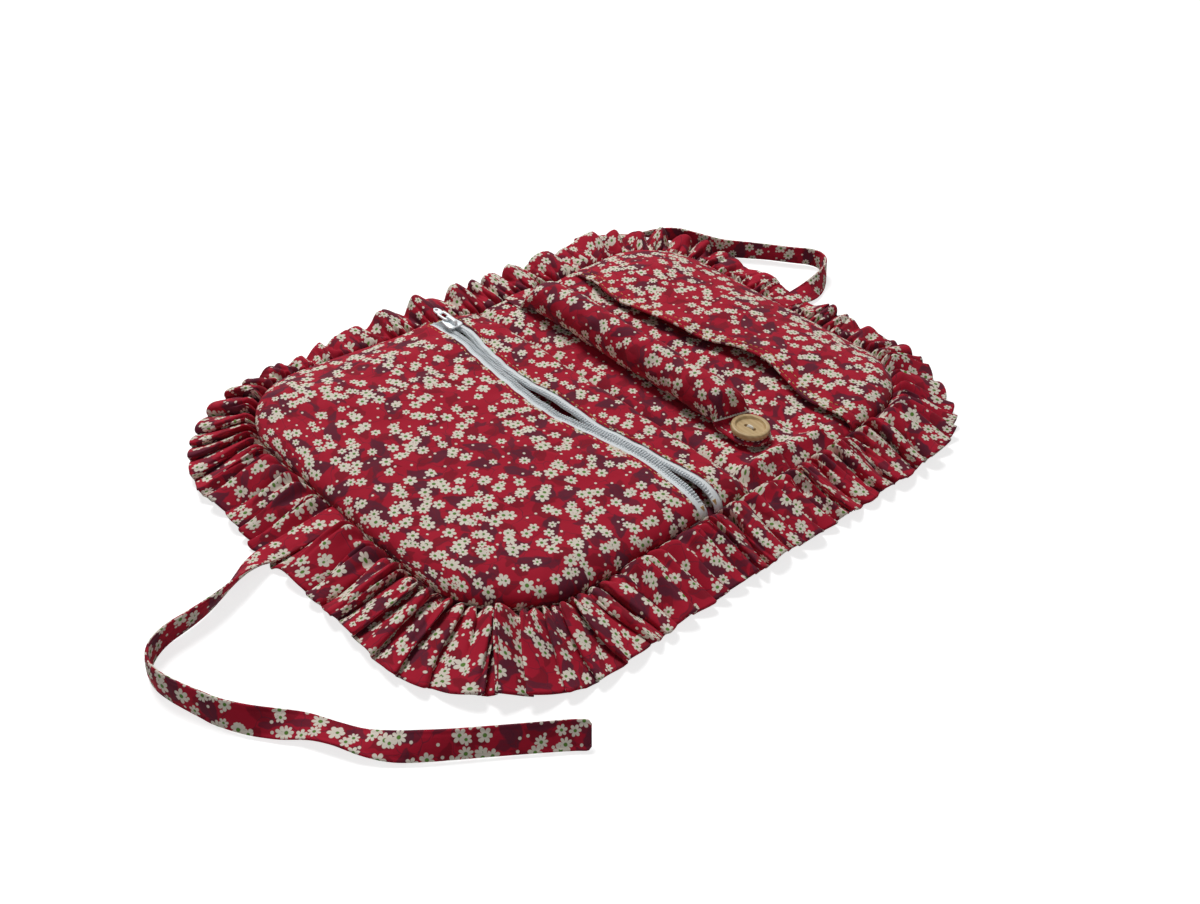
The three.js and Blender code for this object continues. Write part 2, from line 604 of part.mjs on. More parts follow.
// Two-hole wooden button with a raised rim round a dished middle, and the thread that crosses it
function addButton(y, z) {
  const top = z + BUTTON_HEIGHT;
  const profile = [
    [0, z], [BUTTON_RADIUS - BUTTON_FOOT, z], [BUTTON_RADIUS, z + BUTTON_FOOT],
    [BUTTON_RADIUS, top - BUTTON_ROUND], [BUTTON_RADIUS - BUTTON_ROUND, top],
    [BUTTON_RADIUS - BUTTON_RIM, top - BUTTON_RIM_FALL],
    [BUTTON_RADIUS - BUTTON_RIM - BUTTON_WELL, top - BUTTON_DISH], [0, top - BUTTON_DISH],
  ];
  const holes = [-1, 1].map((side) => {
    const hole = new THREE.CylinderGeometry(BUTTON_HOLE_RADIUS, BUTTON_HOLE_RADIUS, 3 * BUTTON_HEIGHT, 10);
    return hole.rotateX(Math.PI / 2).translate((side * BUTTON_HOLE_PITCH) / 2, 0, z);
  });
  const turn = THREE.MathUtils.degToRad(BUTTON_TURN);
  const placed = (geometry) => geometry.rotateZ(turn).translate(ROLL_X, y, 0);
  add("button", placed(cut(turned(profile, 0, 0, 28), ...holes)), fabric(BUTTON_WOOD, 0.55));

  const floor = top - BUTTON_DISH;
  const legX = BUTTON_HOLE_PITCH / 2;
  const crossZ = floor + FIT_GAP + THREAD_RADIUS;
  const level = THREAD_TOP_SHARE * legX;
  // Each place on the thread: x, z and the angle its section has turned through
  const route = [
    [-legX, z, 0], [-legX, floor, Math.PI / 8], [-level, crossZ, Math.PI * 0.42],
    [level, crossZ, Math.PI * 0.58], [legX, floor, Math.PI * 0.875], [legX, z, Math.PI],
  ];
  const rings = route.map(([x, pz, lean]) => {
    const ring = [];
    for (let j = 0; j < THREAD_SIDES; j++) {
      const angle = (2 * Math.PI * j) / THREAD_SIDES;
      const across = THREAD_RADIUS * Math.cos(angle);
      ring.push([x - across * Math.cos(lean), THREAD_RADIUS * Math.sin(angle), pz + across * Math.sin(lean)]);
    }
    return ring;
  });
  add("button_thread", placed(loft(rings)), fabric(THREAD_WHITE));
}

// A point on the pad's seam at a distance s along it, starting at the middle of the +Y side and going to -X
function seamPoint(s) {
  const straightX = HALF_LENGTH - CORNER_RADIUS;
  const straightY = HALF_WIDTH - CORNER_RADIUS;
  const arc = (CORNER_RADIUS * Math.PI) / 2;
  const legs = [straightX, arc, 2 * straightY, arc, 2 * straightX, arc, 2 * straightY, arc, straightX];
  const total = legs.reduce((a, b) => a + b, 0);
  let rest = ((s % total) + total) % total;
  let leg = 0;
  while (rest > legs[leg] && leg < legs.length - 1) rest -= legs[leg++];
  const turn = leg % 2 ? (leg - 1) / 2 + rest / arc : leg / 2;
  const angle = Math.PI / 2 + (turn * Math.PI) / 2;
  const normal = new THREE.Vector2(Math.cos(angle), Math.sin(angle));
  const ahead = new THREE.Vector2(-normal.y, normal.x);
  const centres = [[-1, 1], [-1, -1], [1, -1], [1, 1]];
  const corner = ([cx, cy]) => new THREE.Vector2(cx * straightX, cy * straightY);
  if (leg % 2) {
    return { point: corner(centres[(leg - 1) / 2]).addScaledVector(normal, CORNER_RADIUS), normal };
  }
  const from = leg ? corner(centres[leg / 2 - 1]) : new THREE.Vector2(0, straightY);
  return { point: from.addScaledVector(normal, CORNER_RADIUS).addScaledVector(ahead, rest), normal };
}

const SEAM_HALF = 2 * (HALF_LENGTH + HALF_WIDTH - 2 * CORNER_RADIUS) + Math.PI * CORNER_RADIUS;
const SEAM_TIE = SEAM_HALF / 2;

// A stretch of ruffle from s0 to s1 along the seam, fluted, calm beside the folds and flat under the ties
function ruffle(s0, s1) {
  const flutes = Math.max(2, Math.round((s1 - s0) / RUFFLE_PITCH));
  const steps = flutes * FLUTE_STEPS;
  const surface = (offset) => {
    const rows = [];
    for (let i = 0; i <= steps; i++) {
      const t = i / steps;
      const s = THREE.MathUtils.lerp(s0, s1, t);
      const { point, normal } = seamPoint(s);
      const calm = smooth(Math.min(s - s0, s1 - s) / FOLD_CALM);
      const fromTie = Math.min(Math.abs(s - SEAM_TIE), Math.abs(s - SEAM_HALF - SEAM_TIE));
      const lively = calm * smooth((fromTie - TIE_TROUGH) / TIE_TROUGH);
      const reach = RUFFLE_REACH + RUFFLE_LEAN * normal.dot(NEAR);
      const flute = (RUFFLE_FLUTE - FLUTE_LEAN * normal.dot(NEAR)) * lively;
      const wave = Math.cos(2 * Math.PI * flutes * t);
      const low = RUFFLE_FLOOR + RUFFLE_THICKNESS / 2;
      rows.push([0, 0.5, 1].map((u) => {
        const out = FIT_GAP + u * reach;
        const rest = THREE.MathUtils.lerp(RUFFLE_SEAM_Z, low + flute, u);
        return [point.x + normal.x * out, point.y + normal.y * out, rest + flute * u * wave + offset];
      }));
    }
    return rows;
  };
  return sheet(surface(RUFFLE_THICKNESS / 2), surface(-RUFFLE_THICKNESS / 2));
}

function addRuffle() {
  const front = FIT_GAP - FRONT_FOLD_X;
  const frontSpine = -FIT_GAP - FRONT_FOLD_X;
  const backSpine = FIT_GAP - BACK_FOLD_X;
  const back = -FIT_GAP - BACK_FOLD_X;
  add("ruffle_front", ruffle(front, SEAM_HALF - front), fabric(RED_PRINT));
  add("ruffle_spine_far", ruffle(backSpine, frontSpine), fabric(RED_PRINT));
  add("ruffle_spine_near", ruffle(SEAM_HALF - frontSpine, SEAM_HALF - backSpine), fabric(RED_PRINT));
  add("ruffle_back", ruffle(SEAM_HALF - back, 2 * SEAM_HALF + back), fabric(RED_PRINT));
}

// Route of each tie: x, y, z of its middle and its tilt from flat in degrees
const FRONT_TIE = [
  [-154, 0, 6.0, 0], [-164.5, 0, 5.1, 0], [-175.5, -0.8, 4.3, 0], [-184.5, -1, 3.6, 2],
  [-192.5, -1, 3.2, 3], [-199.5, -2, 3.6, 18], [-206.5, -5, 4.6, 36], [-216.5, -10, 5.8, 56],
  [-226.5, -14.5, 6.4, 70], [-235.5, -17.2, 6.6, 77], [-243.5, -18.8, 6.6, 81], [-250.5, -20, 6.6, 84],
  [-257, -22.5, 6.6, 87], [-262.5, -26.5, 6.6, 90], [-266, -32, 6.6, 90], [-267, -39.5, 6.6, 89],
  [-265.5, -47.5, 6.6, 86], [-263, -55, 6.5, 82], [-260.5, -61.5, 6.4, 77], [-258, -68, 6.3, 72],
  [-251.5, -78.5, 6.0, 62], [-243.5, -86.5, 4.9, 42], [-235, -94, 3.6, 24], [-228.5, -104, 3.3, 20],
  [-222.5, -115, 4.0, 30], [-215.5, -124.5, 5.0, 42], [-207.5, -132.3, 5.6, 50],
  [-198.5, -139, 5.8, 54], [-189, -145.5, 5.8, 54], [-179.5, -152, 5.8, 54], [-170, -158.5, 5.8, 52],
  [-160.5, -165, 5.6, 50], [-155.5, -169, 5.4, 48],
];
const BACK_TIE = [
  [154, 0, 6.0, 0], [160.5, 0, 5.0, 0], [167.5, 0, 4.2, 0], [175.5, 0, 3.8, 10], [183.5, -0.5, 4.7, 30],
  [191.5, 0.5, 5.7, 52], [199.5, 3, 6.4, 70], [207, 7, 6.6, 82], [213, 12.5, 6.6, 89],
  [215.8, 19, 6.6, 90], [213.8, 25.5, 6.6, 88], [208.5, 31.5, 6.6, 84], [203, 38, 6.6, 82],
  [197.5, 45, 6.6, 80], [190.5, 52.5, 6.6, 80], [183, 60.5, 6.6, 80], [176.5, 69, 6.6, 80],
  [172, 81.5, 6.3, 72], [166.4, 96.5, 5.6, 58], [156.5, 109.1, 4.5, 40], [144.3, 119.4, 2.9, 20],
  [130.2, 126.9, 1.4, 4], [115.1, 133.3, 1.1, 0],
];

// A flat tie: an eight-sided flat section carried along its route and tilted as it twists
function tie(route) {
  const places = route.map(([x, y, z]) => new THREE.Vector3(x, y, z));
  const curve = new THREE.CatmullRomCurve3(places, false, "centripetal");
  const [w, t] = [TIE_WIDTH / 2, TIE_THICKNESS / 2];
  const section = [
    [w, -t / 2], [w, t / 2], [w - t, t], [t - w, t], [-w, t / 2], [-w, -t / 2], [t - w, -t], [w - t, -t],
  ];
  const up = new THREE.Vector3(0, 0, 1);
  const steps = 2 * (route.length - 1);
  const rings = [];
  for (let i = 0; i <= steps; i++) {
    const at = i / 2;
    const k = Math.min(Math.floor(at), route.length - 2);
    const tilt = THREE.MathUtils.degToRad(THREE.MathUtils.lerp(route[k][3], route[k + 1][3], at - k));
    const middle = curve.getPoint(i / steps);
    const ahead = curve.getTangent(i / steps).setZ(0).normalize();
    const side = new THREE.Vector3().crossVectors(up, ahead);
    const across = side.clone().multiplyScalar(Math.cos(tilt)).addScaledVector(up, Math.sin(tilt));
    const face = up.clone().multiplyScalar(Math.cos(tilt)).addScaledVector(side, -Math.sin(tilt));
    rings.push(section.map(([a, b]) => {
      const p = middle.clone().addScaledVector(across, a).addScaledVector(face, b);
      return [p.x, p.y, p.z];
    }));
  }
  return loft(rings);
}

addPad();
addZipPocket();
addZip();
addSlider();
addSlipPocket();
addRingRoll();
addRuffle();
// The origin is the middle of the underside, ties left out
const middle = new THREE.Box3().setFromObject(pouch).getCenter(new THREE.Vector3());
add("tie_front", tie(FRONT_TIE), fabric(RED_PRINT));
add("tie_back", tie(BACK_TIE), fabric(RED_PRINT));
pouch.position.set(-middle.x, -middle.y, 0);

export default pouch;
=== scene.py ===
"""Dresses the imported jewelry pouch: quilted pad, gathered ruffle, zip and slip pockets, ring roll and ties.

Sizes are millimetres in the pad's own frame: the origin is the middle of the pad, +X runs from the zip pocket
to the slip pocket, +Y along the zip to its slider, and z = 0 is the table. They become metres in the part's
frame when a mesh is made.
"""

import json
import logging
import math
from dataclasses import dataclass
from enum import Enum, IntEnum
from functools import partial
from typing import Callable, NamedTuple, Optional, Sequence, Union

import bpy
import numpy as np
from mathutils import Matrix, Vector


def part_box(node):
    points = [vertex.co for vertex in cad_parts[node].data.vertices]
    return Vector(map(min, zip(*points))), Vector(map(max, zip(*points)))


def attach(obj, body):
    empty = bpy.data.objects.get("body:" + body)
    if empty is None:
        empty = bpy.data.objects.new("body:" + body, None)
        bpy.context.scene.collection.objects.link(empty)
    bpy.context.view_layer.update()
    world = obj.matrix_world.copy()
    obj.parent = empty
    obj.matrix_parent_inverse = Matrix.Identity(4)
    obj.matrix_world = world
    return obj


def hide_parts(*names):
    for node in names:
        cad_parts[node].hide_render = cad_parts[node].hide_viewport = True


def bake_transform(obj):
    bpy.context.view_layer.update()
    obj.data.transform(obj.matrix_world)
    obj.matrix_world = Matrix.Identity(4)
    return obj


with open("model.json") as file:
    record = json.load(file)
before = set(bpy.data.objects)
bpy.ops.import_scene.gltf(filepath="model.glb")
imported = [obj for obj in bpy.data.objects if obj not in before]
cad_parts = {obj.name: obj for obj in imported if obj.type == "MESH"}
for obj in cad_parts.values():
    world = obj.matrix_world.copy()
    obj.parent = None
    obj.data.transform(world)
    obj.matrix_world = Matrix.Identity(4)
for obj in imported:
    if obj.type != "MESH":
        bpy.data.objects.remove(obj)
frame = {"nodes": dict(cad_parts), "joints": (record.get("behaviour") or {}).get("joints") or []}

Array = np.ndarray
Colour = tuple[float, float, float, float]
Socket = bpy.types.NodeSocket
Value = Union[Socket, float, Sequence[float]]
Line = Callable[[Array], Array]
Height = Callable[[Array, Array], Array]
Route = Sequence[tuple[float, float, float, float]]
MM = 0.001
TAU = 2.0 * math.pi
TINY = 1e-9
WELD_STEPS = 1e4  # to the millimetre: points that round to the same step are one
UP = (0.0, 0.0, 1.0)
WHITE = (1.0, 1.0, 1.0, 1.0)
CLOTH_MAP = "Cloth"
LOG = logging.getLogger("pouch")


class Body(str, Enum):
    """The bodies that the pieces move with."""

    SPINE = "spine"
    FRONT = "front_half"
    BACK = "back_half"
    ROLL = "ring_roll"
    SLIDER = "zip_slider"
    PULL = "zip_pull"


class Slot(str, Enum):
    """The record's material slots."""

    PRINT = "print_cotton"
    TAPE = "zip_tape"
    COIL = "zip_coil"
    GOLD = "gold_thread"
    WHITE = "white_thread"
    ENAMEL = "slider_enamel"
    WOOD = "button_wood"


class Half(IntEnum):
    """The two halves of the pad, by the sign of their x."""

    FRONT = -1
    BACK = 1


class Row(IntEnum):
    """The two rows of the zip, by the side of its middle that they lie on."""

    FRONT = -1
    REAR = 1


class ZipEnd(IntEnum):
    """The two ends of the zip, by the sign of their y. The slider rests at the far one."""

    FAR = 1
    NEAR = -1


# Shapes as whole arrays


class Shell(NamedTuple):
    """A surface as points, quads between them and the cloth coordinate of each point."""

    points: Array
    quads: Array
    cloth: Array


def smooth(t: Array) -> Array:
    """Eases from 0 to 1 as t goes from 0 to 1."""
    t = np.clip(t, 0.0, 1.0)
    return t * t * (3.0 - 2.0 * t)


def shoulder(distance: Array, radius: float) -> Array:
    """Quarter-round rise from 0 at an edge to 1 at the radius from it."""
    t = 1.0 - np.clip(distance / radius, 0.0, 1.0)
    return np.sqrt(1.0 - t * t)


def bell(distance: Array, width: Union[float, Array]) -> Array:
    """A rounded bump: 1 at no distance, and e to the minus square of distance over width."""
    return np.exp(-((distance / width) ** 2))


def squared(wave: Array, power: float) -> Array:
    """A sine or cosine to a power with its sign kept: a lower power draws squarer corners."""
    return np.sign(wave) * np.abs(wave) ** power


def walked(path: Array) -> Array:
    """Length along a path at each of its points."""
    return np.concatenate([[0.0], np.cumsum(np.linalg.norm(np.diff(path, axis=0), axis=1))])


def xyz(x: Array, y: Array, z: Array) -> Array:
    """Points from their three coordinates."""
    return np.stack(np.broadcast_arrays(x, y, z), -1)


def two_faced(x: Array, y: Array, top: Array, low: Array) -> Array:
    """Loops round a padded shape: its top one way across and its underside back again."""
    return np.concatenate([xyz(x, y, top), xyz(x, y, low)[:, ::-1]], axis=1)


def through(knots: Sequence[tuple[float, float]], at: Array) -> Array:
    """A smooth line through knots: a cubic between each two, with the slope that their neighbours give.

    Args:
        knots: Pairs of place and value, in rising or falling order of place.
        at: Places to give the value at.

    Returns:
        The values, held level outside the knots.
    """
    place, value = np.array(sorted(knots)).T
    slope = np.gradient(value, place)
    at = np.clip(at, place[0], place[-1])
    k = np.clip(np.searchsorted(place, at) - 1, 0, len(place) - 2)
    span = place[k + 1] - place[k]
    t = (at - place[k]) / span
    rise = value[k + 1] - value[k]
    a = slope[k] * span - rise
    b = rise - slope[k + 1] * span
    return value[k] + t * rise + t * (1 - t) * (a * (1 - t) + b * t)


@dataclass(frozen=True)
class Ripple:
    """Soft unevenness: a sum of sine waves in seeded directions, about 1 high."""

    wavelength: float
    seed: int
    waves: int = 9

    def __call__(self, x: Array, y: Array) -> Array:
        """Adds up the sines of the place along each direction.

        Args:
            x: Places along x.
            y: Places along y.

        Returns:
            The unevenness there.
        """
        rng = np.random.default_rng(self.seed)
        angle = rng.uniform(0.0, TAU, self.waves)
        turns = TAU / (self.wavelength * rng.uniform(0.7, 1.5, self.waves))
        phase = rng.uniform(0.0, TAU, self.waves)
        x, y = np.broadcast_arrays(x, y)
        across = x[..., None] * np.cos(angle) + y[..., None] * np.sin(angle)
        return np.sin(across * turns + phase).sum(-1) / math.sqrt(self.waves)


def grid_quads(rows: int, columns: int) -> Array:
    """Quads of a grid of points stored row by row.

    Args:
        rows: Number of rows.
        columns: Points in a row.

    Returns:
        Four point numbers for each quad.
    """
    i = np.arange(rows - 1)[:, None] * columns
    j = np.arange(columns - 1)[None, :]
    corners = [i + j, i + j + 1, i + columns + j + 1, i + columns + j]
    return np.stack(corners, -1).reshape(-1, 4)


def run_lengths(points: Array, axis: int) -> Array:
    """Length along a grid's lines, measured from the middle one.

    Args:
        points: Grid of points, rows by columns by 3.
        axis: 0 to run across the rows, 1 to run along them.

    Returns:
        The signed length at each point.
    """
    steps = np.linalg.norm(np.diff(points, axis=axis), axis=-1)
    pad = [(0, 0), (0, 0)]
    pad[axis] = (1, 0)
    run = np.pad(np.cumsum(steps, axis=axis), pad)
    return run - np.take(run, [run.shape[axis] // 2], axis=axis)


def grid_shell(points: Array, cloth: Optional[Array] = None) -> Shell:
    """A surface through a grid of points.

    Args:
        points: Grid of points, rows by columns by 3. Places that coincide are welded when the mesh is made.
        cloth: Cloth coordinate of each point, or None to use the lengths along the grid's own lines.

    Returns:
        The surface.
    """
    rows, columns = points.shape[:2]
    if cloth is None:
        cloth = np.stack([run_lengths(points, 0), run_lengths(points, 1)], -1)
    return Shell(points.reshape(-1, 3), grid_quads(rows, columns), cloth.reshape(-1, 2))


def grid_normals(points: Array) -> Array:
    """Unit normals of a grid, the cross product of its two slopes at each point.

    Args:
        points: Grid of points, rows by columns by 3.

    Returns:
        The normals.
    """
    along = np.gradient(points, axis=0)
    across = np.gradient(points, axis=1)
    normal = np.cross(along, across)
    return normal / np.maximum(np.linalg.norm(normal, axis=-1, keepdims=True), TINY)


def sheet_shell(top: Array, thickness: Union[float, Array], cloth: Optional[Array] = None) -> Shell:
    """Cloth with a thickness: the top grid, the same grid moved down its normals, and a rim between them.

    Args:
        top: Grid of points of the upper face, with its normals upwards.
        thickness: Distance to the lower face, one value or one for each point.
        cloth: Cloth coordinate of each point, or None for lengths along the grid.

    Returns:
        A closed surface.
    """
    normals = grid_normals(top)
    normals *= np.where(normals[..., 2:].mean() < 0, -1.0, 1.0)
    low = top - normals * np.asarray(thickness)[..., None]
    upper = grid_shell(top, cloth)
    lower = grid_shell(low, upper.cloth.reshape(*top.shape[:2], 2))
    count = len(upper.points)
    index = np.arange(count).reshape(top.shape[:2])
    ring = np.concatenate([index[0, :-1], index[:-1, -1], index[-1, :0:-1], index[:0:-1, 0]])
    after = np.roll(ring, -1)
    rim = np.stack([after, ring, ring + count, after + count], -1)
    points = np.concatenate([upper.points, lower.points])
    quads = np.concatenate([upper.quads, lower.quads[:, ::-1] + count, rim])
    return Shell(points, quads, np.concatenate([upper.cloth, lower.cloth]))


def capped(rings: Array) -> Array:
    """Closed rings with a point added at each end, so that the surface through them is shut.

    Args:
        rings: Rows of points; the last point of a row is its first again.

    Returns:
        The rows with a row of one repeated point before and after.
    """
    ends = [np.broadcast_to(rings[k, :-1].mean(0), rings[k].shape)[None] for k in (0, -1)]
    return np.concatenate([ends[0], rings, ends[1]])


def merged(shells: Sequence[Shell]) -> Shell:
    """Several surfaces as one.

    Args:
        shells: The surfaces.

    Returns:
        Their points, quads and cloth coordinates, one surface after another.
    """
    starts = np.cumsum([0] + [len(s.points) for s in shells[:-1]])
    quads = [s.quads + start for s, start in zip(shells, starts)]
    points = np.concatenate([s.points for s in shells])
    return Shell(points, np.concatenate(quads), np.concatenate([s.cloth for s in shells]))


def bars(
    first: Array, last: Array, up: Array, radius: float, bow: float, profile: Sequence[float], sides: int = 6
) -> Shell:
    """Many short round bars, such as stitches or zip teeth, as one surface.

    Each bar is a tube from first to last. Its radius follows the profile and its middle is bowed up.

    Args:
        first: Start of each bar, count by 3.
        last: End of each bar.
        up: Direction that each bar is bowed in.
        radius: Radius where the profile is 1.
        bow: Rise of the middle above the ends.
        profile: Radius at stations along the bar, as shares; 0 at both ends closes it.
        sides: Flat sides round the tube.

    Returns:
        The bars.
    """
    stations = np.linspace(0.0, 1.0, len(profile))
    span = last - first
    length = np.linalg.norm(span, axis=-1, keepdims=True)
    ahead = span / np.maximum(length, TINY)
    side = np.cross(up, ahead)
    side /= np.maximum(np.linalg.norm(side, axis=-1, keepdims=True), TINY)
    lift = np.cross(ahead, side)
    turn = np.linspace(0.0, TAU, sides + 1)
    line = first[:, None] + span[:, None] * stations[None, :, None]
    line = line + lift[:, None] * (bow * np.sin(math.pi * stations))[None, :, None]
    ring = side[:, None] * np.cos(turn)[None, :, None] + lift[:, None] * np.sin(turn)[None, :, None]
    size = radius * np.asarray(profile)
    points = line[:, :, None] + ring[:, None] * size[None, :, None, None]
    count, rows, columns = points.shape[:3]
    quads = grid_quads(rows, columns)[None] + (np.arange(count) * rows * columns)[:, None, None]
    along = stations[None, :, None] * length[:, :, None] + np.arange(count)[:, None, None] * length.mean()
    around = radius * turn[None, None, :]
    cloth = np.stack(np.broadcast_arrays(along, around), -1)
    return Shell(points.reshape(-1, 3), quads.reshape(-1, 4), cloth.reshape(-1, 2))


class Stitch(NamedTuple):
    """A kind of stitch: its length, the gap to the next one, and the radius of its thread."""

    length: float
    gap: float
    radius: float

    def row(self, path: Array) -> Shell:
        """A row of stitches along a path: bars of one length with a gap between them.

        Args:
            path: Points that the row follows.

        Returns:
            The stitches.
        """
        run = walked(path)
        starts = np.arange(self.gap, run[-1] - self.length, self.length + self.gap)
        first, last = (
            np.stack([np.interp(at, run, path[:, k]) for k in range(3)], -1)
            for at in (starts, starts + self.length)
        )
        up = np.broadcast_to(UP, first.shape)
        return bars(first, last, up, self.radius, 0.7 * self.radius, (0, 0.8, 1, 1, 0.8, 0))


def sweep(centre: Array, across: Array, face: Array, section: Array) -> Array:
    """Rings of a section carried along a line: centre + across times its first value + face times its second.

    Args:
        centre: Points of the line.
        across: Unit direction of the section's first axis at each point.
        face: Unit direction of its second axis.
        section: Closed outline, points by 2, or one outline for each point of the line.

    Returns:
        Rings, points of the line by points of the section by 3.
    """
    section = np.broadcast_to(section, (len(centre), *section.shape[-2:]))
    return centre[:, None] + across[:, None] * section[..., :1] + face[:, None] * section[..., 1:]


def rounded_outline(half_width: float, half_height: float, power: float, count: int) -> Array:
    """A closed outline between an ellipse (power 1) and a box (power near 0).

    Args:
        half_width: Half its width.
        half_height: Half its height.
        power: Exponent of the cosine and sine.
        count: Points round it; the last is the first again.

    Returns:
        The points, count + 1 by 2.
    """
    turn = np.linspace(0.0, TAU, count + 1)
    x = half_width * squared(np.cos(turn), power)
    y = half_height * squared(np.sin(turn), power)
    outline = np.stack([x, y], -1)
    outline[-1] = outline[0]
    return outline


# The pad's plan


@dataclass(frozen=True)
class Plan:
    """The pad's rounded outline, seen from above, and where its middle lies in the part's frame (metres)."""

    middle: tuple[float, float]
    half_length: float
    half_width: float
    front_fold: float
    back_fold: float
    corner: float = 52.0
    waist: tuple[tuple[float, float], ...] = (
        (-153, 0.0), (-95, 0.0), (-75, 1.2), (-50, 3.6), (-25, 7.0), (-5, 8.5), (40, 8.5), (85, 8.5),
        (105, 7.5), (125, 3.5), (145, 0.0),
    )
    waist_reach: float = 26.0
    waist_ease: float = 0.55

    @classmethod
    def of_frame(cls) -> "Plan":
        """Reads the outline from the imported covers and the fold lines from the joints.

        Returns:
            The plan.
        """
        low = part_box("front_outer_cover")[0]
        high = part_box("back_outer_cover")[1]
        middle = ((low.x + high.x) / 2, (low.y + high.y) / 2)
        folds = {j["name"]: (j["pos_m"][0] - middle[0]) / MM for j in frame["joints"] if "fold" in j["name"]}
        half = ((high.x - low.x) / 2 / MM, (high.y - low.y) / 2 / MM)
        return cls(middle, *half, folds["front_fold"], folds["back_fold"])

    @property
    def spine_middle(self) -> float:
        """The line half way between the folds."""
        return (self.front_fold + self.back_fold) / 2

    @property
    def core(self) -> Array:
        """Half sizes of the box that the corner radius stands outside."""
        return np.array([self.half_length - self.corner, self.half_width - self.corner])

    def to_part(self, points: Array) -> Array:
        """Moves points from the pad's frame in millimetres to the part's in metres."""
        return points * MM + np.array([*self.middle, 0.0])

    def drawn_in(self, points: Array) -> Array:
        """Draws the far edge in, as the zip and the roll pull on it: most at the seam and less beyond it.

        Args:
            points: Points in the pad's frame.

        Returns:
            The points, moved along -Y.
        """
        x, y = points[..., 0], points[..., 1]
        beyond = smooth((y - self.half_width) / self.waist_reach)
        pull = through(self.waist, x) * smooth(y / self.half_width) * (1 - self.waist_ease * beyond)
        return points - pull[..., None] * np.array([0.0, 1.0, 0.0])

    def edge_distance(self, x: Array, y: Array) -> Array:
        """Distance to the rounded outline: the corner radius less the distance past its inner box.

        Args:
            x: Places along the pad.
            y: Places across it.

        Returns:
            How far each place lies inside the outline.
        """
        qx, qy = np.abs(x) - self.core[0], np.abs(y) - self.core[1]
        outside = np.hypot(np.maximum(qx, 0), np.maximum(qy, 0))
        return self.corner - outside - np.minimum(np.maximum(qx, qy), 0)

    def half_width_at(self, x: Array) -> Array:
        """Half the pad's width at x."""
        past = np.maximum(np.abs(x) - self.core[0], 0)
        return self.core[1] + np.sqrt(np.maximum(self.corner**2 - past**2, 0))

    def outward(self, x: Array, y: Array) -> Array:
        """Direction to the nearest part of the outline.

        Args:
            x: Places along the pad.
            y: Places across it.

        Returns:
            Unit directions, and zeros deep inside.
        """
        x, y = np.broadcast_arrays(x, y)
        here = np.stack([x, y], -1)
        away = here - np.clip(here, -self.core, self.core)
        return away / np.maximum(np.linalg.norm(away, axis=-1, keepdims=True), 1e-6)

    def along_edge(self, x: Array, y: Array) -> Array:
        """Length along the nearest stretch of outline, mirrored in both axes.

        Args:
            x: Places along the pad.
            y: Places across it.

        Returns:
            The length from the middle of the pad's end.
        """
        ax, ay = np.abs(x), np.abs(y)
        arc = self.corner * math.pi / 2
        bend = np.arctan2(np.maximum(ay - self.core[1], 0), np.maximum(ax - self.core[0], TINY))
        side = self.core[1] + arc + self.core[0] - ax
        round_corner = self.core[1] + self.corner * bend
        nearer_side = self.half_width - ay < self.half_length - ax
        straight = np.where(nearer_side, side, ay)
        return np.where((ax > self.core[0]) & (ay > self.core[1]), round_corner, straight)

    @property
    def seam_half(self) -> float:
        """Half the length of the outline."""
        return 2 * float(self.core.sum()) + math.pi * self.corner

    def seam(self, s: Array) -> tuple[Array, Array]:
        """The outline by its length: straight legs and quarter rounds in turn.

        Args:
            s: Lengths from the middle of the +Y side, towards -X.

        Returns:
            The points there and the outward normals.
        """
        cx, cy = self.core
        arc = self.corner * math.pi / 2
        legs = np.array([cx, arc, 2 * cy, arc, 2 * cx, arc, 2 * cy, arc, cx])
        starts = np.concatenate([[0.0], np.cumsum(legs)])
        s = np.mod(s, starts[-1])
        leg = np.clip(np.searchsorted(starts, s, side="right") - 1, 0, len(legs) - 1)
        rest = s - starts[leg]
        on_arc = leg % 2 == 1
        turn = np.where(on_arc, (leg - 1) / 2 + rest / arc, leg / 2)
        angle = math.pi / 2 * (1 + turn)
        normal = np.stack([np.cos(angle), np.sin(angle)], -1)
        ahead = np.stack([-normal[..., 1], normal[..., 0]], -1)
        corners = np.array([(-cx, cy), (-cx, -cy), (cx, -cy), (cx, cy)])
        bases = np.array([(0.0, cy), *np.repeat(corners, 2, axis=0)])
        forward = np.where(on_arc, 0.0, rest)[..., None]
        return bases[leg] + normal * self.corner + ahead * forward, normal

    def rows(self, half: Half, last: float, step: float, corner_rows: int = 30) -> Array:
        """Values of x from the pad's rounded end to last, closer together round the corners.

        Args:
            half: Which end the rows start from.
            last: The x of the last row.
            step: Distance between rows along the straight part.
            corner_rows: Rows round the corner.

        Returns:
            The rows' x.
        """
        turn = np.linspace(0.0, math.pi / 2, corner_rows)
        round_part = half.value * (self.core[0] + self.corner * np.cos(turn))
        count = max(2, int(abs(last - round_part[-1]) / step))
        return np.concatenate([round_part, np.linspace(round_part[-1], last, count + 1)[1:]])


def columns(count: int) -> Array:
    """Shares of the half width from -1 to 1, closer together at both edges."""
    return np.sin(np.linspace(-math.pi / 2, math.pi / 2, count))


# Shader graphs


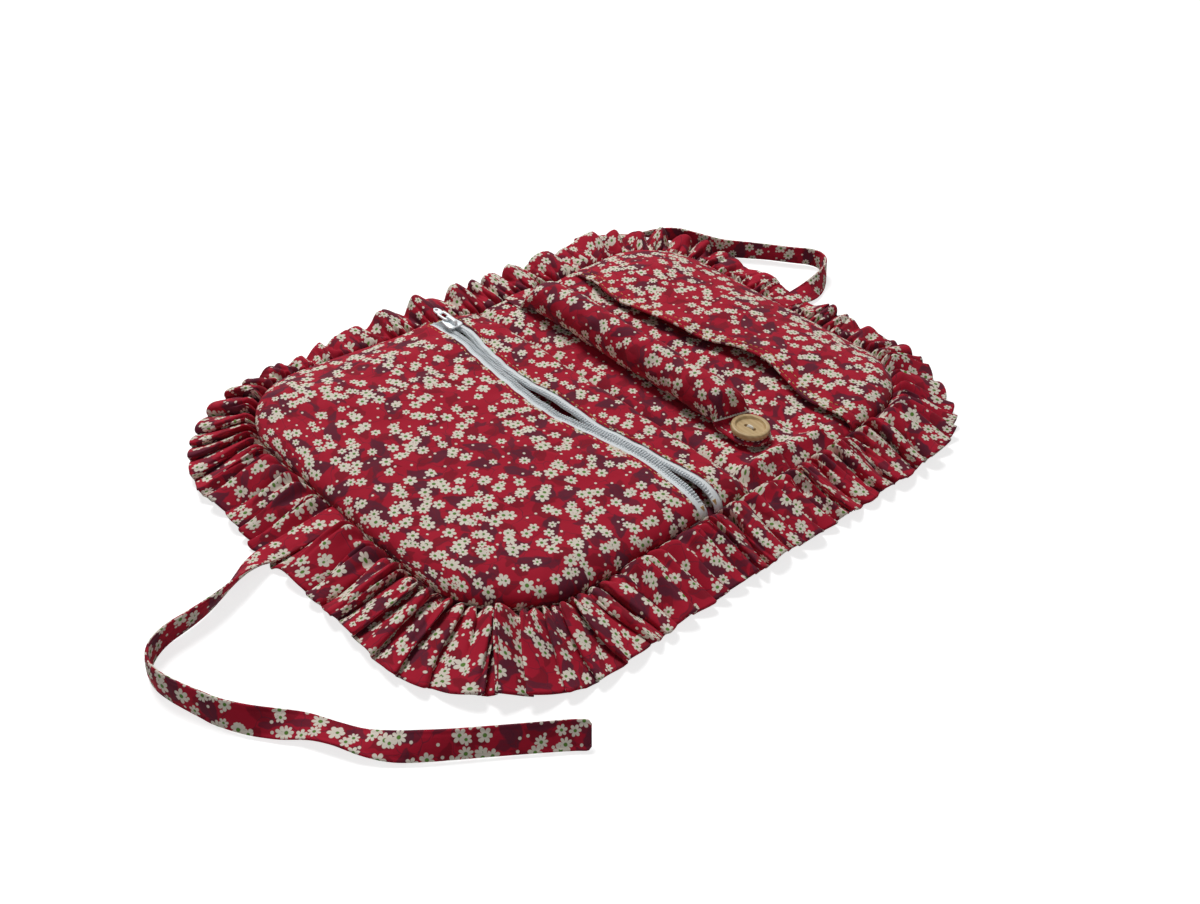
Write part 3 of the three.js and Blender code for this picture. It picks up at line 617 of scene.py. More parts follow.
class Graph:
    """A node tree with short ways to add nodes and join them."""

    def __init__(self, tree: bpy.types.NodeTree) -> None:
        """Wraps a tree."""
        self.tree = tree

    def feed(self, socket: Socket, value: Value) -> None:
        """Links a socket to another, or sets its own value.

        Args:
            socket: The input to feed.
            value: A socket to link, or a value to set.
        """
        if isinstance(value, Socket):
            self.tree.links.new(value, socket)
        else:
            socket.default_value = value

    def node(self, kind: str, inputs: Optional[dict] = None, **settings: object) -> bpy.types.Node:
        """Adds a node.

        Args:
            kind: The node's type without its ShaderNode prefix.
            inputs: Values or sockets by input name or index.
            **settings: The node's own settings.

        Returns:
            The node.
        """
        made = self.tree.nodes.new(kind if kind.startswith("Node") else f"ShaderNode{kind}")
        for name, setting in settings.items():
            setattr(made, name, setting)
        for key, value in (inputs or {}).items():
            self.feed(made.inputs[key], value)
        return made

    def math(self, operation: str, *values: Value, clamp: bool = False) -> Socket:
        """The result of a sum on numbers."""
        inputs = dict(enumerate(values))
        return self.node("Math", inputs, operation=operation, use_clamp=clamp).outputs[0]

    def vector(self, operation: str, *values: Value) -> Socket:
        """The result of a sum on vectors."""
        made = self.node("VectorMath", dict(enumerate(values)), operation=operation)
        return made.outputs["Value" if operation in ("LENGTH", "DOT_PRODUCT") else "Vector"]

    def scaled(self, vector: Value, factor: float) -> Socket:
        """A vector times a number."""
        made = self.node("VectorMath", {0: vector, "Scale": factor}, operation="SCALE")
        return made.outputs["Vector"]

    def mix(self, share: Value, low: Value, high: Value) -> Socket:
        """A colour between low and high."""
        made = self.node("Mix", {0: share, 6: low, 7: high}, data_type="RGBA")
        return made.outputs[2]

    def within(self, value: Value, limit: Value, softness: float) -> Socket:
        """1 where value is under limit and 0 past it, with a soft edge."""
        room = self.math("SUBTRACT", limit, value)
        return self.math("DIVIDE", room, softness, clamp=True)

    def noise(self, vector: Value, scale: float, detail: float = 2.0) -> Socket:
        """Noise from 0 to 1."""
        inputs = {"Vector": vector, "Scale": scale, "Detail": detail}
        return self.node("TexNoise", inputs).outputs["Fac"]

    def group(self, tree: bpy.types.NodeTree, **inputs: Value) -> bpy.types.Node:
        """Places a node group.

        Args:
            tree: The group.
            **inputs: Values or sockets by input name.

        Returns:
            Its node.
        """
        return self.node("Group", inputs, node_tree=tree)

    def seen(self) -> Socket:
        """1 for rays from the camera, reflections and glass.

        Returns:
            The socket.
        """
        path = self.node("LightPath")
        rays = [path.outputs[name] for name in ("Is Camera Ray", "Is Glossy Ray", "Is Transmission Ray")]
        return self.math("MAXIMUM", rays[0], self.math("MAXIMUM", rays[1], rays[2]))


class SocketKind(str, Enum):
    """Kinds of sockets on a node group."""

    VECTOR = "NodeSocketVector"
    COLOUR = "NodeSocketColor"
    FLOAT = "NodeSocketFloat"


Sockets = dict[str, SocketKind]


def new_group(name: str, takes: Sockets, gives: Sockets) -> tuple[Graph, dict, bpy.types.Node]:
    """Starts a node group with named sockets.

    Args:
        name: The group's name.
        takes: Kind of each input by name.
        gives: Kind of each output by name.

    Returns:
        Its graph, its input sockets by name and its output node.
    """
    tree = bpy.data.node_groups.new(name, "ShaderNodeTree")
    for socket, kind in takes.items():
        tree.interface.new_socket(socket, in_out="INPUT", socket_type=kind.value)
    for socket, kind in gives.items():
        tree.interface.new_socket(socket, in_out="OUTPUT", socket_type=kind.value)
    graph = Graph(tree)
    given = tree.nodes.new("NodeGroupInput")
    taken = tree.nodes.new("NodeGroupOutput")
    return graph, {socket: given.outputs[socket] for socket in takes}, taken


class Effects:
    """Node groups that several finishes share, each built once."""

    def __init__(self) -> None:
        """Builds the groups."""
        self.weave = self._waves("plain_weave", twisted=False)
        self.twist = self._waves("thread_twist", twisted=True)
        self.mottle = self._mottle()
        self.print = self._print()

    @staticmethod
    def _waves(name: str, twisted: bool) -> bpy.types.NodeTree:
        """Threads as waves of the cloth coordinate.

        A weave, where threads pass over each other in turn, is the product of a sine along and a sine across.
        A twist is one sine of the sum of the lengths along the thread and round it.

        Args:
            name: The group's name.
            twisted: Whether it is a twist.

        Returns:
            The group.
        """
        takes = {"Cloth": SocketKind.VECTOR, "Pitch": SocketKind.FLOAT}
        graph, given, taken = new_group(name, takes, {"Height": SocketKind.FLOAT})
        runs = graph.node("SeparateXYZ", {0: given["Cloth"]}).outputs[:2]
        if twisted:
            runs = [graph.math("ADD", *runs)]
        turns = graph.math("DIVIDE", TAU, given["Pitch"])
        waves = [graph.math("SINE", graph.math("MULTIPLY", run, turns)) for run in runs]
        wave = waves[0] if twisted else graph.math("MULTIPLY", *waves)
        graph.feed(taken.inputs["Height"], graph.math("MULTIPLY_ADD", wave, 0.5, 0.5))
        return graph.tree

    @staticmethod
    def _mottle() -> bpy.types.NodeTree:
        """Patchy handling: two sizes of noise that shift a colour's depth and its roughness.

        Returns:
            The group.
        """
        graph, given, taken = new_group(
            "mottle",
            {
                "Place": SocketKind.VECTOR,
                "Colour": SocketKind.COLOUR,
                "Worn": SocketKind.COLOUR,
                "Amount": SocketKind.FLOAT,
                "Roughness": SocketKind.FLOAT,
            },
            {"Colour": SocketKind.COLOUR, "Roughness": SocketKind.FLOAT, "Mask": SocketKind.FLOAT},
        )
        broad = graph.noise(given["Place"], 90.0, 3.0)
        fine = graph.noise(given["Place"], 900.0, 2.0)
        both = graph.math("MULTIPLY_ADD", fine, 0.4, graph.math("MULTIPLY", broad, 0.6))
        patch = graph.math("MULTIPLY_ADD", both, 2.4, -0.7, clamp=True)
        share = graph.math("MULTIPLY", patch, given["Amount"])
        graph.feed(taken.inputs["Colour"], graph.mix(share, given["Colour"], given["Worn"]))
        swing = graph.math("MULTIPLY_ADD", patch, 0.24, -0.12)
        graph.feed(taken.inputs["Roughness"], graph.math("ADD", given["Roughness"], swing, clamp=True))
        graph.feed(taken.inputs["Mask"], patch)
        return graph.tree

    @staticmethod
    def _cells(graph: Graph, cloth: Value, pitch: float, shift: tuple[float, float]) -> dict:
        """Scattered places a pitch apart, each with its own random turn.

        Args:
            graph: Graph to add to.
            cloth: Cloth coordinate in metres.
            pitch: Mean distance between places, in metres.
            shift: Moves the scatter, so that two of the same pitch differ.

        Returns:
            Sockets: radius and angle about the nearest place in pitches, and two random numbers.
        """
        here = graph.vector("ADD", graph.scaled(cloth, 1.0 / pitch), (*shift, 0.0))
        cells = graph.node(
            "TexVoronoi", {"Vector": here, "Scale": 1.0, "Randomness": 0.78}, voronoi_dimensions="2D"
        )
        local = graph.vector("SUBTRACT", here, cells.outputs["Position"])
        split = graph.node("SeparateXYZ", {0: local})
        chance = graph.node("SeparateColor", {0: cells.outputs["Color"]})
        angle = graph.math("ARCTAN2", split.outputs[1], split.outputs[0])
        turned = graph.math("MULTIPLY_ADD", chance.outputs[0], TAU, angle)
        radius = graph.vector("LENGTH", local)
        return {"radius": radius, "angle": turned, "first": chance.outputs[1], "second": chance.outputs[2]}

    @classmethod
    def _daisies(
        cls, graph: Graph, cloth: Value, pitch: float, shift: tuple[float, float], petals: int, keep: float
    ) -> tuple[Socket, Socket]:
        """Small open flowers: petals whose reach is a power of a cosine of the angle, round a small heart.

        Args:
            graph: Graph to add to.
            cloth: Cloth coordinate in metres.
            pitch: Mean distance between flowers, in metres.
            shift: Moves the scatter.
            petals: Number of petals.
            keep: Share of the places that have a flower.

        Returns:
            Masks of the petals and of the heart.
        """
        cell = cls._cells(graph, cloth, pitch, shift)
        wave = graph.math("ABSOLUTE", graph.math("COSINE", graph.math("MULTIPLY", cell["angle"], petals / 2)))
        lobe = graph.math("POWER", wave, 0.5)
        size = graph.math("MULTIPLY_ADD", cell["first"], 0.11, 0.29)
        reach = graph.math("MULTIPLY", size, graph.math("MULTIPLY_ADD", lobe, 0.64, 0.36))
        shown = graph.math("LESS_THAN", cell["second"], keep)
        petal = graph.math("MULTIPLY", graph.within(cell["radius"], reach, 0.035), shown)
        heart_size = graph.math("MULTIPLY", size, 0.3)
        heart = graph.math("MULTIPLY", graph.within(cell["radius"], heart_size, 0.03), shown)
        return petal, heart

    @classmethod
    def _leaves(
        cls, graph: Graph, cloth: Value, pitch: float, shift: tuple[float, float], slim: float, keep: float
    ) -> tuple[Socket, Socket]:
        """Scattered leaves: a lens, as wide as a parabola of the place along it, with a vein.

        Args:
            graph: Graph to add to.
            cloth: Cloth coordinate in metres.
            pitch: Mean distance between leaves, in metres.
            shift: Moves the scatter.
            slim: Half width of a leaf, in pitches.
            keep: Share of the places that have a leaf.

        Returns:
            Masks of the leaves and of their veins.
        """
        cell = cls._cells(graph, cloth, pitch, shift)
        along = graph.math("MULTIPLY", cell["radius"], graph.math("COSINE", cell["angle"]))
        across = graph.math("MULTIPLY", cell["radius"], graph.math("SINE", cell["angle"]))
        square = graph.math("MULTIPLY", along, along)
        bent = graph.math("ABSOLUTE", graph.math("MULTIPLY_ADD", square, 0.35, across))
        tip = graph.math("MULTIPLY", along, 1.0 / 0.52)
        width = graph.math("MULTIPLY", graph.math("SUBTRACT", 1.0, graph.math("MULTIPLY", tip, tip)), slim)
        shown = graph.math("LESS_THAN", cell["second"], keep)
        leaf = graph.math("MULTIPLY", graph.within(bent, width, 0.05), shown)
        vein = graph.math("MULTIPLY", leaf, graph.within(bent, 0.018, 0.012))
        return leaf, vein

    @classmethod
    def _print(cls) -> bpy.types.NodeTree:
        """A small scattered print: leaves under daisies, with dots and fine stems between them.

        Returns:
            The group.
        """
        colours = ("Ground", "Shade", "Leaf", "Petal", "Heart")
        takes = {"Cloth": SocketKind.VECTOR, **{name: SocketKind.COLOUR for name in colours}}
        graph, given, taken = new_group("ditsy_print", takes, {"Colour": SocketKind.COLOUR})
        cloth = given["Cloth"]
        wander = graph.node("TexNoise", {"Vector": cloth, "Scale": 160.0, "Detail": 1.0}).outputs["Color"]
        offset = graph.scaled(graph.vector("SUBTRACT", wander, (0.5, 0.5, 0.5)), 0.006)
        bent = graph.vector("ADD", cloth, offset)

        broad, broad_vein = cls._leaves(graph, bent, 0.0168, (0.0, 0.0), 0.25, 0.62)
        small, small_vein = cls._leaves(graph, bent, 0.0112, (7.3, 2.1), 0.2, 0.46)
        deep, _ = cls._leaves(graph, bent, 0.0135, (3.7, 9.2), 0.24, 0.85)
        colour = graph.mix(graph.math("MULTIPLY", deep, 0.8), given["Ground"], given["Shade"])
        colour = graph.mix(graph.math("MULTIPLY", broad, 0.9), colour, given["Leaf"])
        colour = graph.mix(graph.math("MULTIPLY", small, 0.75), colour, given["Leaf"])
        veins = graph.math("MAXIMUM", broad_vein, small_vein)
        colour = graph.mix(graph.math("MULTIPLY", veins, 0.5), colour, given["Shade"])

        stems = graph.node(
            "TexVoronoi",
            {"Vector": graph.scaled(bent, 1.0 / 0.0115), "Scale": 1.0},
            voronoi_dimensions="2D",
            feature="DISTANCE_TO_EDGE",
        )
        stem = graph.within(stems.outputs["Distance"], 0.022, 0.016)
        colour = graph.mix(graph.math("MULTIPLY", stem, 0.7), colour, given["Leaf"])

        layers = [
            cls._daisies(graph, cloth, 0.0095, (0.0, 4.0), 6, 0.54),
            cls._daisies(graph, cloth, 0.0088, (5.2, 1.3), 8, 0.36),
            cls._daisies(graph, cloth, 0.0072, (1.7, 8.8), 6, 0.22),
        ]
        dot = cls._cells(graph, cloth, 0.0052, (2.4, 6.1))
        round_dot = graph.within(dot["radius"], 0.15, 0.04)
        dots = graph.math("MULTIPLY", round_dot, graph.math("LESS_THAN", dot["first"], 0.38))
        colour = graph.mix(dots, colour, given["Petal"])
        for petal, heart in layers:
            colour = graph.mix(petal, colour, given["Petal"])
            colour = graph.mix(heart, colour, given["Heart"])
        graph.feed(taken.inputs["Colour"], colour)
        return graph.tree


def srgb(red: int, green: int, blue: int) -> Colour:
    """A colour as it is seen on screen, made linear.

    Args:
        red: Red, from 0 to 255.
        green: Green.
        blue: Blue.

    Returns:
        The linear colour, with full alpha.
    """
    channel = np.array([red, green, blue]) / 255.0
    linear = np.where(channel <= 0.04045, channel / 12.92, ((channel + 0.055) / 1.055) ** 2.4)
    return (*(float(c) for c in linear), 1.0)


class MaterialGraph(Graph):
    """A material's node tree, with its shader and the effects that the finishes share."""

    def __init__(self, tree: bpy.types.NodeTree, effects: Effects) -> None:
        """Wraps a material's tree.

        Args:
            tree: The tree.
            effects: Node groups to place in it.
        """
        super().__init__(tree)
        self.shader = tree.nodes["Principled BSDF"]
        self.effects = effects

    def cloth_place(self) -> Socket:
        """The piece's own cloth coordinate."""
        return self.node("UVMap", uv_map=CLOTH_MAP).outputs[0]

    def object_place(self) -> Socket:
        """The place in the part's frame."""
        return self.node("TexCoord").outputs["Object"]

    def feed_shader(self, values: dict[str, Value]) -> None:
        """Feeds the shader's inputs by name."""
        for name, value in values.items():
            self.feed(self.shader.inputs[name], value)

    def bump(self, height: Value, strength: float, distance: float) -> None:
        """Raises the surface by a height."""
        inputs = {"Height": height, "Strength": strength, "Distance": distance}
        self.feed_shader({"Normal": self.node("Bump", inputs).outputs[0]})

    def worn(
        self, place: Value, fresh: Value, used: Value, amount: float, roughness: float
    ) -> bpy.types.Node:
        """Patchy wear, fed to the shader's colour and roughness.

        Args:
            place: Coordinate of the patches.
            fresh: Colour between the patches.
            used: Colour that they turn to.
            amount: How far they turn to it.
            roughness: Mean roughness.

        Returns:
            The mottle group's node.
        """
        made = self.group(
            self.effects.mottle, Place=place, Colour=fresh, Worn=used, Amount=amount, Roughness=roughness
        )
        self.feed_shader({"Base Color": made.outputs["Colour"], "Roughness": made.outputs["Roughness"]})
        return made


class Finish:
    """A surface finish that makes its material once."""

    name: str

    def material(self, effects: Effects) -> bpy.types.Material:
        """The finish's material, made at its first use.

        Args:
            effects: Node groups to place in it.

        Returns:
            The material.
        """
        found = bpy.data.materials.get(self.name)
        if found is not None:
            return found
        made = bpy.data.materials.new(self.name)
        made.use_nodes = True
        self.wire(MaterialGraph(made.node_tree, effects))
        return made

    def wire(self, graph: MaterialGraph) -> None:
        """Joins the finish's nodes to the shader."""
        raise NotImplementedError


@dataclass(frozen=True)
class PrintedCotton(Finish):
    """Fine plain-weave cotton with the small print."""

    name: str = "printed_cotton"
    ground: Colour = srgb(174, 18, 46)
    shade: Colour = srgb(126, 8, 32)
    leaf: Colour = srgb(82, 26, 46)
    petal: Colour = srgb(234, 226, 211)
    heart: Colour = srgb(88, 136, 54)
    rubbed: Colour = (0.30, 0.06, 0.075, 1.0)
    pitch: float = 0.00042

    def wire(self, graph: MaterialGraph) -> None:
        """The print, a little rubbed, over a weave with uneven threads.

        Args:
            graph: The material's graph.
        """
        cloth = graph.cloth_place()
        printed = graph.group(
            graph.effects.print, Cloth=cloth, Ground=self.ground, Shade=self.shade,
            Leaf=self.leaf, Petal=self.petal, Heart=self.heart,
        )
        weave = graph.group(graph.effects.weave, Cloth=cloth, Pitch=self.pitch).outputs["Height"]
        graph.worn(cloth, printed.outputs["Colour"], self.rubbed, 0.12, 0.82)
        graph.feed_shader({"Sheen Weight": 0.05, "Sheen Roughness": 0.45, "Specular IOR Level": 0.14})
        slub = graph.math("MULTIPLY_ADD", graph.noise(cloth, 1500.0), 0.6, weave)
        graph.bump(slub, 0.22, 0.00012)


@dataclass(frozen=True)
class ZipTape(Finish):
    """White woven zip tape."""

    name: str = "zip_tape"
    white: Colour = srgb(238, 241, 241)
    # Real soiling in the mottle, and also the painted shade in the weave's gaps.
    soiled_and_gap_shade: Colour = srgb(208, 212, 213)
    pitch: float = 0.0009

    def wire(self, graph: MaterialGraph) -> None:
        """Coarse weave with shaded gaps.

        Args:
            graph: The material's graph.
        """
        cloth = graph.cloth_place()
        weave = graph.group(graph.effects.weave, Cloth=cloth, Pitch=self.pitch).outputs["Height"]
        worn = graph.worn(cloth, self.white, self.soiled_and_gap_shade, 0.5, 0.8)
        # Painted shade: the weave's low gaps are darkened towards the soiled colour.
        gaps = graph.math("MULTIPLY_ADD", weave, -0.4, 0.4)
        woven = graph.mix(gaps, worn.outputs["Colour"], self.soiled_and_gap_shade)
        graph.feed_shader({"Base Color": woven, "Sheen Weight": 0.15})
        graph.bump(weave, 0.5, 0.0002)


@dataclass(frozen=True)
class Thread(Finish):
    """Twisted sewing thread."""

    name: str
    light: Colour
    dark: Colour
    pitch: float = 0.0007

    def wire(self, graph: MaterialGraph) -> None:
        """Twist that paints shade into the thread's grooves and raises it.

        Args:
            graph: The material's graph.
        """
        cloth = graph.cloth_place()
        twist = graph.group(graph.effects.twist, Cloth=cloth, Pitch=self.pitch).outputs["Height"]
        worn = graph.worn(graph.object_place(), self.light, self.dark, 0.5, 0.6)
        # Painted shade: the dark colour is laid into the twist's grooves.
        twisted = graph.mix(twist, self.dark, worn.outputs["Colour"])
        graph.feed_shader({"Base Color": twisted, "Sheen Weight": 0.2})
        graph.bump(twist, 0.6, 0.00015)


@dataclass(frozen=True)
class HardCoat(Finish):
    """Nylon, enamel or plated steel, with patches that are rubbed and slightly raised."""

    name: str
    fresh: Colour
    rubbed: Colour
    amount: float
    roughness: float
    relief: tuple[float, float]
    metallic: float = 0.0
    coat: float = 0.0

    def wire(self, graph: MaterialGraph) -> None:
        """Patchy wear that also feeds the relief.

        Args:
            graph: The material's graph.
        """
        worn = graph.worn(graph.object_place(), self.fresh, self.rubbed, self.amount, self.roughness)
        graph.feed_shader({"Metallic": self.metallic, "Coat Weight": self.coat})
        graph.bump(worn.outputs["Mask"], *self.relief)


@dataclass(frozen=True)
class PaleWood(Finish):
    """Oiled pale wood, with grain across the button."""

    name: str = "pale_wood"
    light: Colour = srgb(204, 178, 130)
    dark: Colour = srgb(178, 146, 98)
    rubbed: Colour = srgb(192, 164, 116)

    def wire(self, graph: MaterialGraph) -> None:
        """Stretched rings and fine pores.

        Args:
            graph: The material's graph.
        """
        place = graph.object_place()
        lean = {"Vector": place, "Rotation": (0.2, 0.12, 0.7), "Scale": (1.0, 0.16, 1.0)}
        waves = {"Scale": 150.0, "Distortion": 9.0, "Detail": 3.0, "Detail Scale": 0.7}
        waves["Vector"] = graph.node("Mapping", lean).outputs[0]
        rings = graph.node("TexWave", waves).outputs["Fac"]
        drawn = {"Vector": place, "Rotation": (0.0, 0.0, 0.7), "Scale": (9.0, 1.0, 1.0)}
        pores = graph.noise(graph.node("Mapping", drawn).outputs[0], 700.0, 3.0)
        grain = graph.math("MULTIPLY_ADD", rings, 0.55, graph.math("MULTIPLY", pores, 0.45))
        graph.worn(place, graph.mix(grain, self.dark, self.light), self.rubbed, 0.35, 0.48)
        graph.bump(grain, 0.1, 0.0001)


@dataclass(frozen=True)
class WhiteFloor(Finish):
    """A white floor that takes the pouch's shadow and glows white to the camera further out."""

    name: str = "white_floor"
    albedo: float = 0.6
    glow: float = 0.75
    glow_rise: tuple[float, float] = (0.5, 1.5)

    def wire(self, graph: MaterialGraph) -> None:
        """A matt grey with a glow that rises to full white between two distances from the pouch.

        Args:
            graph: The material's graph.
        """
        grey = (self.albedo,) * 3 + (1.0,)
        graph.feed_shader({"Base Color": grey, "Roughness": 0.9, "Specular IOR Level": 0.0})
        near, far = self.glow_rise
        reach = graph.vector("LENGTH", graph.object_place())
        away = graph.math("DIVIDE", graph.math("SUBTRACT", reach, near), far - near, clamp=True)
        glow = graph.math("MULTIPLY_ADD", away, 1.0 - self.glow, self.glow)
        strength = graph.math("MULTIPLY", graph.seen(), glow)
        graph.feed_shader({"Emission Color": WHITE, "Emission Strength": strength})


PRINT = PrintedCotton()
NYLON = HardCoat("nylon_coil", srgb(228, 233, 236), srgb(196, 203, 208), 0.6, 0.42, (0.08, 0.0001))
ENAMEL = HardCoat(
    "slider_enamel", srgb(214, 222, 228), srgb(168, 178, 188), 0.55, 0.34, (0.06, 0.0002), 0.25, 0.35
)
STEEL = HardCoat("stud_steel", srgb(176, 180, 184), srgb(120, 124, 130), 0.7, 0.3, (0.1, 0.0001), 1.0)
GOLD_THREAD = Thread("gold_thread", srgb(196, 138, 58), srgb(128, 78, 30))
WHITE_THREAD = Thread("white_thread", srgb(232, 226, 214), srgb(178, 168, 152))


# Making and placing pieces


def put(name: str, data: bpy.types.ID) -> bpy.types.Object:
    """Puts an object into the scene.

    Args:
        name: Its name.
        data: Its mesh, light or camera.

    Returns:
        The object.
    """
    made = bpy.data.objects.new(name, data)
    bpy.context.scene.collection.objects.link(made)
    return made


@dataclass
class Workshop:
    """Makes the pieces: turns surfaces into objects and ties them to the frame."""

    plan: Plan
    effects: Effects

    def add(
        self, name: str, shell: Shell, finish: Finish, slot: Slot,
        body: Optional[Body] = None, stands_for: Sequence[str] = (),
    ) -> bpy.types.Object:
        """Makes a piece.

        Args:
            name: The piece's name.
            shell: Its surface in the pad's frame.
            finish: Its finish.
            slot: Not used.
            body: The body it rides on, or None to leave it unattached.
            stands_for: CAD nodes that it replaces.

        Returns:
            The object.
        """
        mesh = self._mesh(name, shell)
        made = put(name, mesh)
        mesh.materials.append(finish.material(self.effects))
        if body is not None:
            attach(made, body.value)
        if stands_for:
            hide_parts(*stands_for)
        LOG.info("%s: %d points, %d faces", name, len(mesh.vertices), len(mesh.polygons))
        return made

    def bend(
        self, piece: bpy.types.Object, before: Body, after: Body, start: Sequence[float], end: Sequence[float]
    ) -> None:
        """Bakes a piece's placement into its mesh; no blend between two bodies is made.

        Args:
            piece: The piece.
            before: Not used.
            after: Not used.
            start: Where a blend would start, in the pad's frame; turned into the part's frame and not used
                further.
            end: Where it would end; likewise not used further.
        """
        ends = [self.plan.to_part(np.array(point, float)) for point in (start, end)]
        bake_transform(piece)

    def dress_node(self, node: str, finish: Finish) -> None:
        """Gives a CAD node its finish.

        Args:
            node: The CAD node.
            finish: Its finish.
        """
        mesh = frame["nodes"][node].data
        mesh.materials.clear()
        mesh.materials.append(finish.material(self.effects))

    def _mesh(self, name: str, shell: Shell) -> bpy.types.Mesh:
        """Welds a surface's points, drops collapsed corners, turns it outwards and stores it.

        Args:
            name: The mesh's name.
            shell: The surface in the pad's frame.

        Returns:
            The mesh, with the cloth coordinate in metres.
        """
        keys = np.round(shell.points * WELD_STEPS).astype(np.int64)
        _, first, inverse = np.unique(keys, axis=0, return_index=True, return_inverse=True)
        points = self.plan.to_part(shell.points[first])
        faces = inverse.reshape(-1)[shell.quads]
        cloth = shell.cloth[shell.quads] * MM
        a, b, c, d = (points[faces[:, k]] for k in range(4))
        volume = np.einsum("ij,ij->", a, np.cross(b, c)) + np.einsum("ij,ij->", a, np.cross(c, d))
        if volume < 0:
            faces, cloth = faces[:, ::-1], cloth[:, ::-1]
        kept = faces != np.roll(faces, 1, axis=1)
        whole = kept.sum(1) >= 3
        faces, cloth, kept = faces[whole], cloth[whole], kept[whole]
        counts = kept.sum(1)
        starts = np.concatenate([[0], np.cumsum(counts)[:-1]])
        mesh = bpy.data.meshes.new(name)
        mesh.vertices.add(len(points))
        mesh.vertices.foreach_set("co", points.astype(np.float32).ravel())
        mesh.loops.add(int(counts.sum()))
        mesh.loops.foreach_set("vertex_index", faces[kept].astype(np.int32))
        mesh.polygons.add(len(faces))
        mesh.polygons.foreach_set("loop_start", starts.astype(np.int32))
        mesh.polygons.foreach_set("use_smooth", np.ones(len(faces), bool))
        mesh.update(calc_edges=True)
        layer = mesh.uv_layers.new(name=CLOTH_MAP)
        layer.data.foreach_set("uv", cloth[kept].astype(np.float32).ravel())
        mesh.validate()
        return mesh


# The pad


@dataclass
class Pad:
    """The quilted pad: lining over wadding over the outer cover, drawn in to a seam round its edge."""

    plan: Plan
    seam_z: float = 4.2
    lining_z: float = 7.6
    floor_z: float = 0.15
    edge_radius: float = 9.0
    bulge: float = 1.5
    puff: float = 0.7
    dimple: float = 0.28
    crease_depth: float = 4.0
    crease_width: float = 4.0
    fold_half: float = 11.0
    hump: float = 4.6
    hump_inside: float = 9.0
    hump_width: float = 5.0

    def lining_height(self, x: Array, y: Array) -> Array:
        """Height of the lining: uneven, low at the folds and the edge, and plump at the spine's near end.

        Args:
            x: Places along the pad.
            y: Places across it.

        Returns:
            The heights.
        """
        inside = self.plan.edge_distance(x, y)
        soft = self.puff * Ripple(34.0, 5)(x, y) + self.dimple * Ripple(13.0, 6)(x, y)
        front, back = ((x - fold) / self.crease_width for fold in (self.plan.front_fold, self.plan.back_fold))
        crease = self.crease_depth * (bell(front, 1.0) + 0.5 * bell(back, 1.0))
        on_spine = smooth(front / 1.6) * smooth(2.0 - back)
        near_edge = bell(inside - self.hump_inside, self.hump_width) * (y < 0)
        plump = self.hump * near_edge * on_spine * (1 + 0.2 * Ripple(26.0, 7)(x, y))
        full = self.lining_z + soft - crease + plump
        return self.seam_z + (full - self.seam_z) * shoulder(inside, self.edge_radius)

    def half_shell(self, half: Half) -> Shell:
        """One half, as loops of lining and outer cover from its rounded end to the middle of the spine.

        Args:
            half: Which half.

        Returns:
            A closed surface.
        """
        x = self.plan.rows(half, self.plan.spine_middle, 1.8)[:, None]
        y = columns(110)[None, :] * self.plan.half_width_at(x)
        x = np.broadcast_to(x, y.shape)
        top = self.lining_height(x, y)
        inside = shoulder(self.plan.edge_distance(x, y), self.edge_radius)
        low = self.seam_z - (self.seam_z - self.floor_z) * inside
        reach = self.bulge * 4 * inside * (1 - inside)
        loop = two_faced(x, y, top, low)
        loop[:, :y.shape[1], :2] += self.plan.outward(x, y) * reach[..., None]
        loop = self.plan.drawn_in(loop)
        middle = ((top + low) / 2)[-1]
        closing = loop[-1:].copy()
        closing[..., 2] = np.concatenate([middle, middle[::-1]])
        points = np.concatenate([loop, closing])
        faces = np.split(np.concatenate([loop, loop[-1:]]), 2, axis=1)
        across = np.concatenate([run_lengths(face, 1) for face in faces], axis=1)
        return grid_shell(points, np.stack([points[..., 0], across], -1))

    def build(self, shop: Workshop) -> None:
        """Makes both halves.

        Args:
            shop: Makes and places the pieces.
        """
        nodes = ("outer_cover", "batting", "lining")
        for half, body, fold in (
            (Half.FRONT, Body.FRONT, self.plan.front_fold),
            (Half.BACK, Body.BACK, self.plan.back_fold),
        ):
            name = half.name.lower()
            covered = [f"{name}_{node}" for node in nodes]
            if half is Half.FRONT:
                covered += [f"spine_{node}" for node in nodes]
            piece = shop.add(f"pad_{name}", self.half_shell(half), PRINT, Slot.PRINT, stands_for=covered)
            away = half.value * self.fold_half
            shop.bend(piece, body, Body.SPINE, (fold + away, 0, 0), (fold - away, 0, 0))


# Pockets


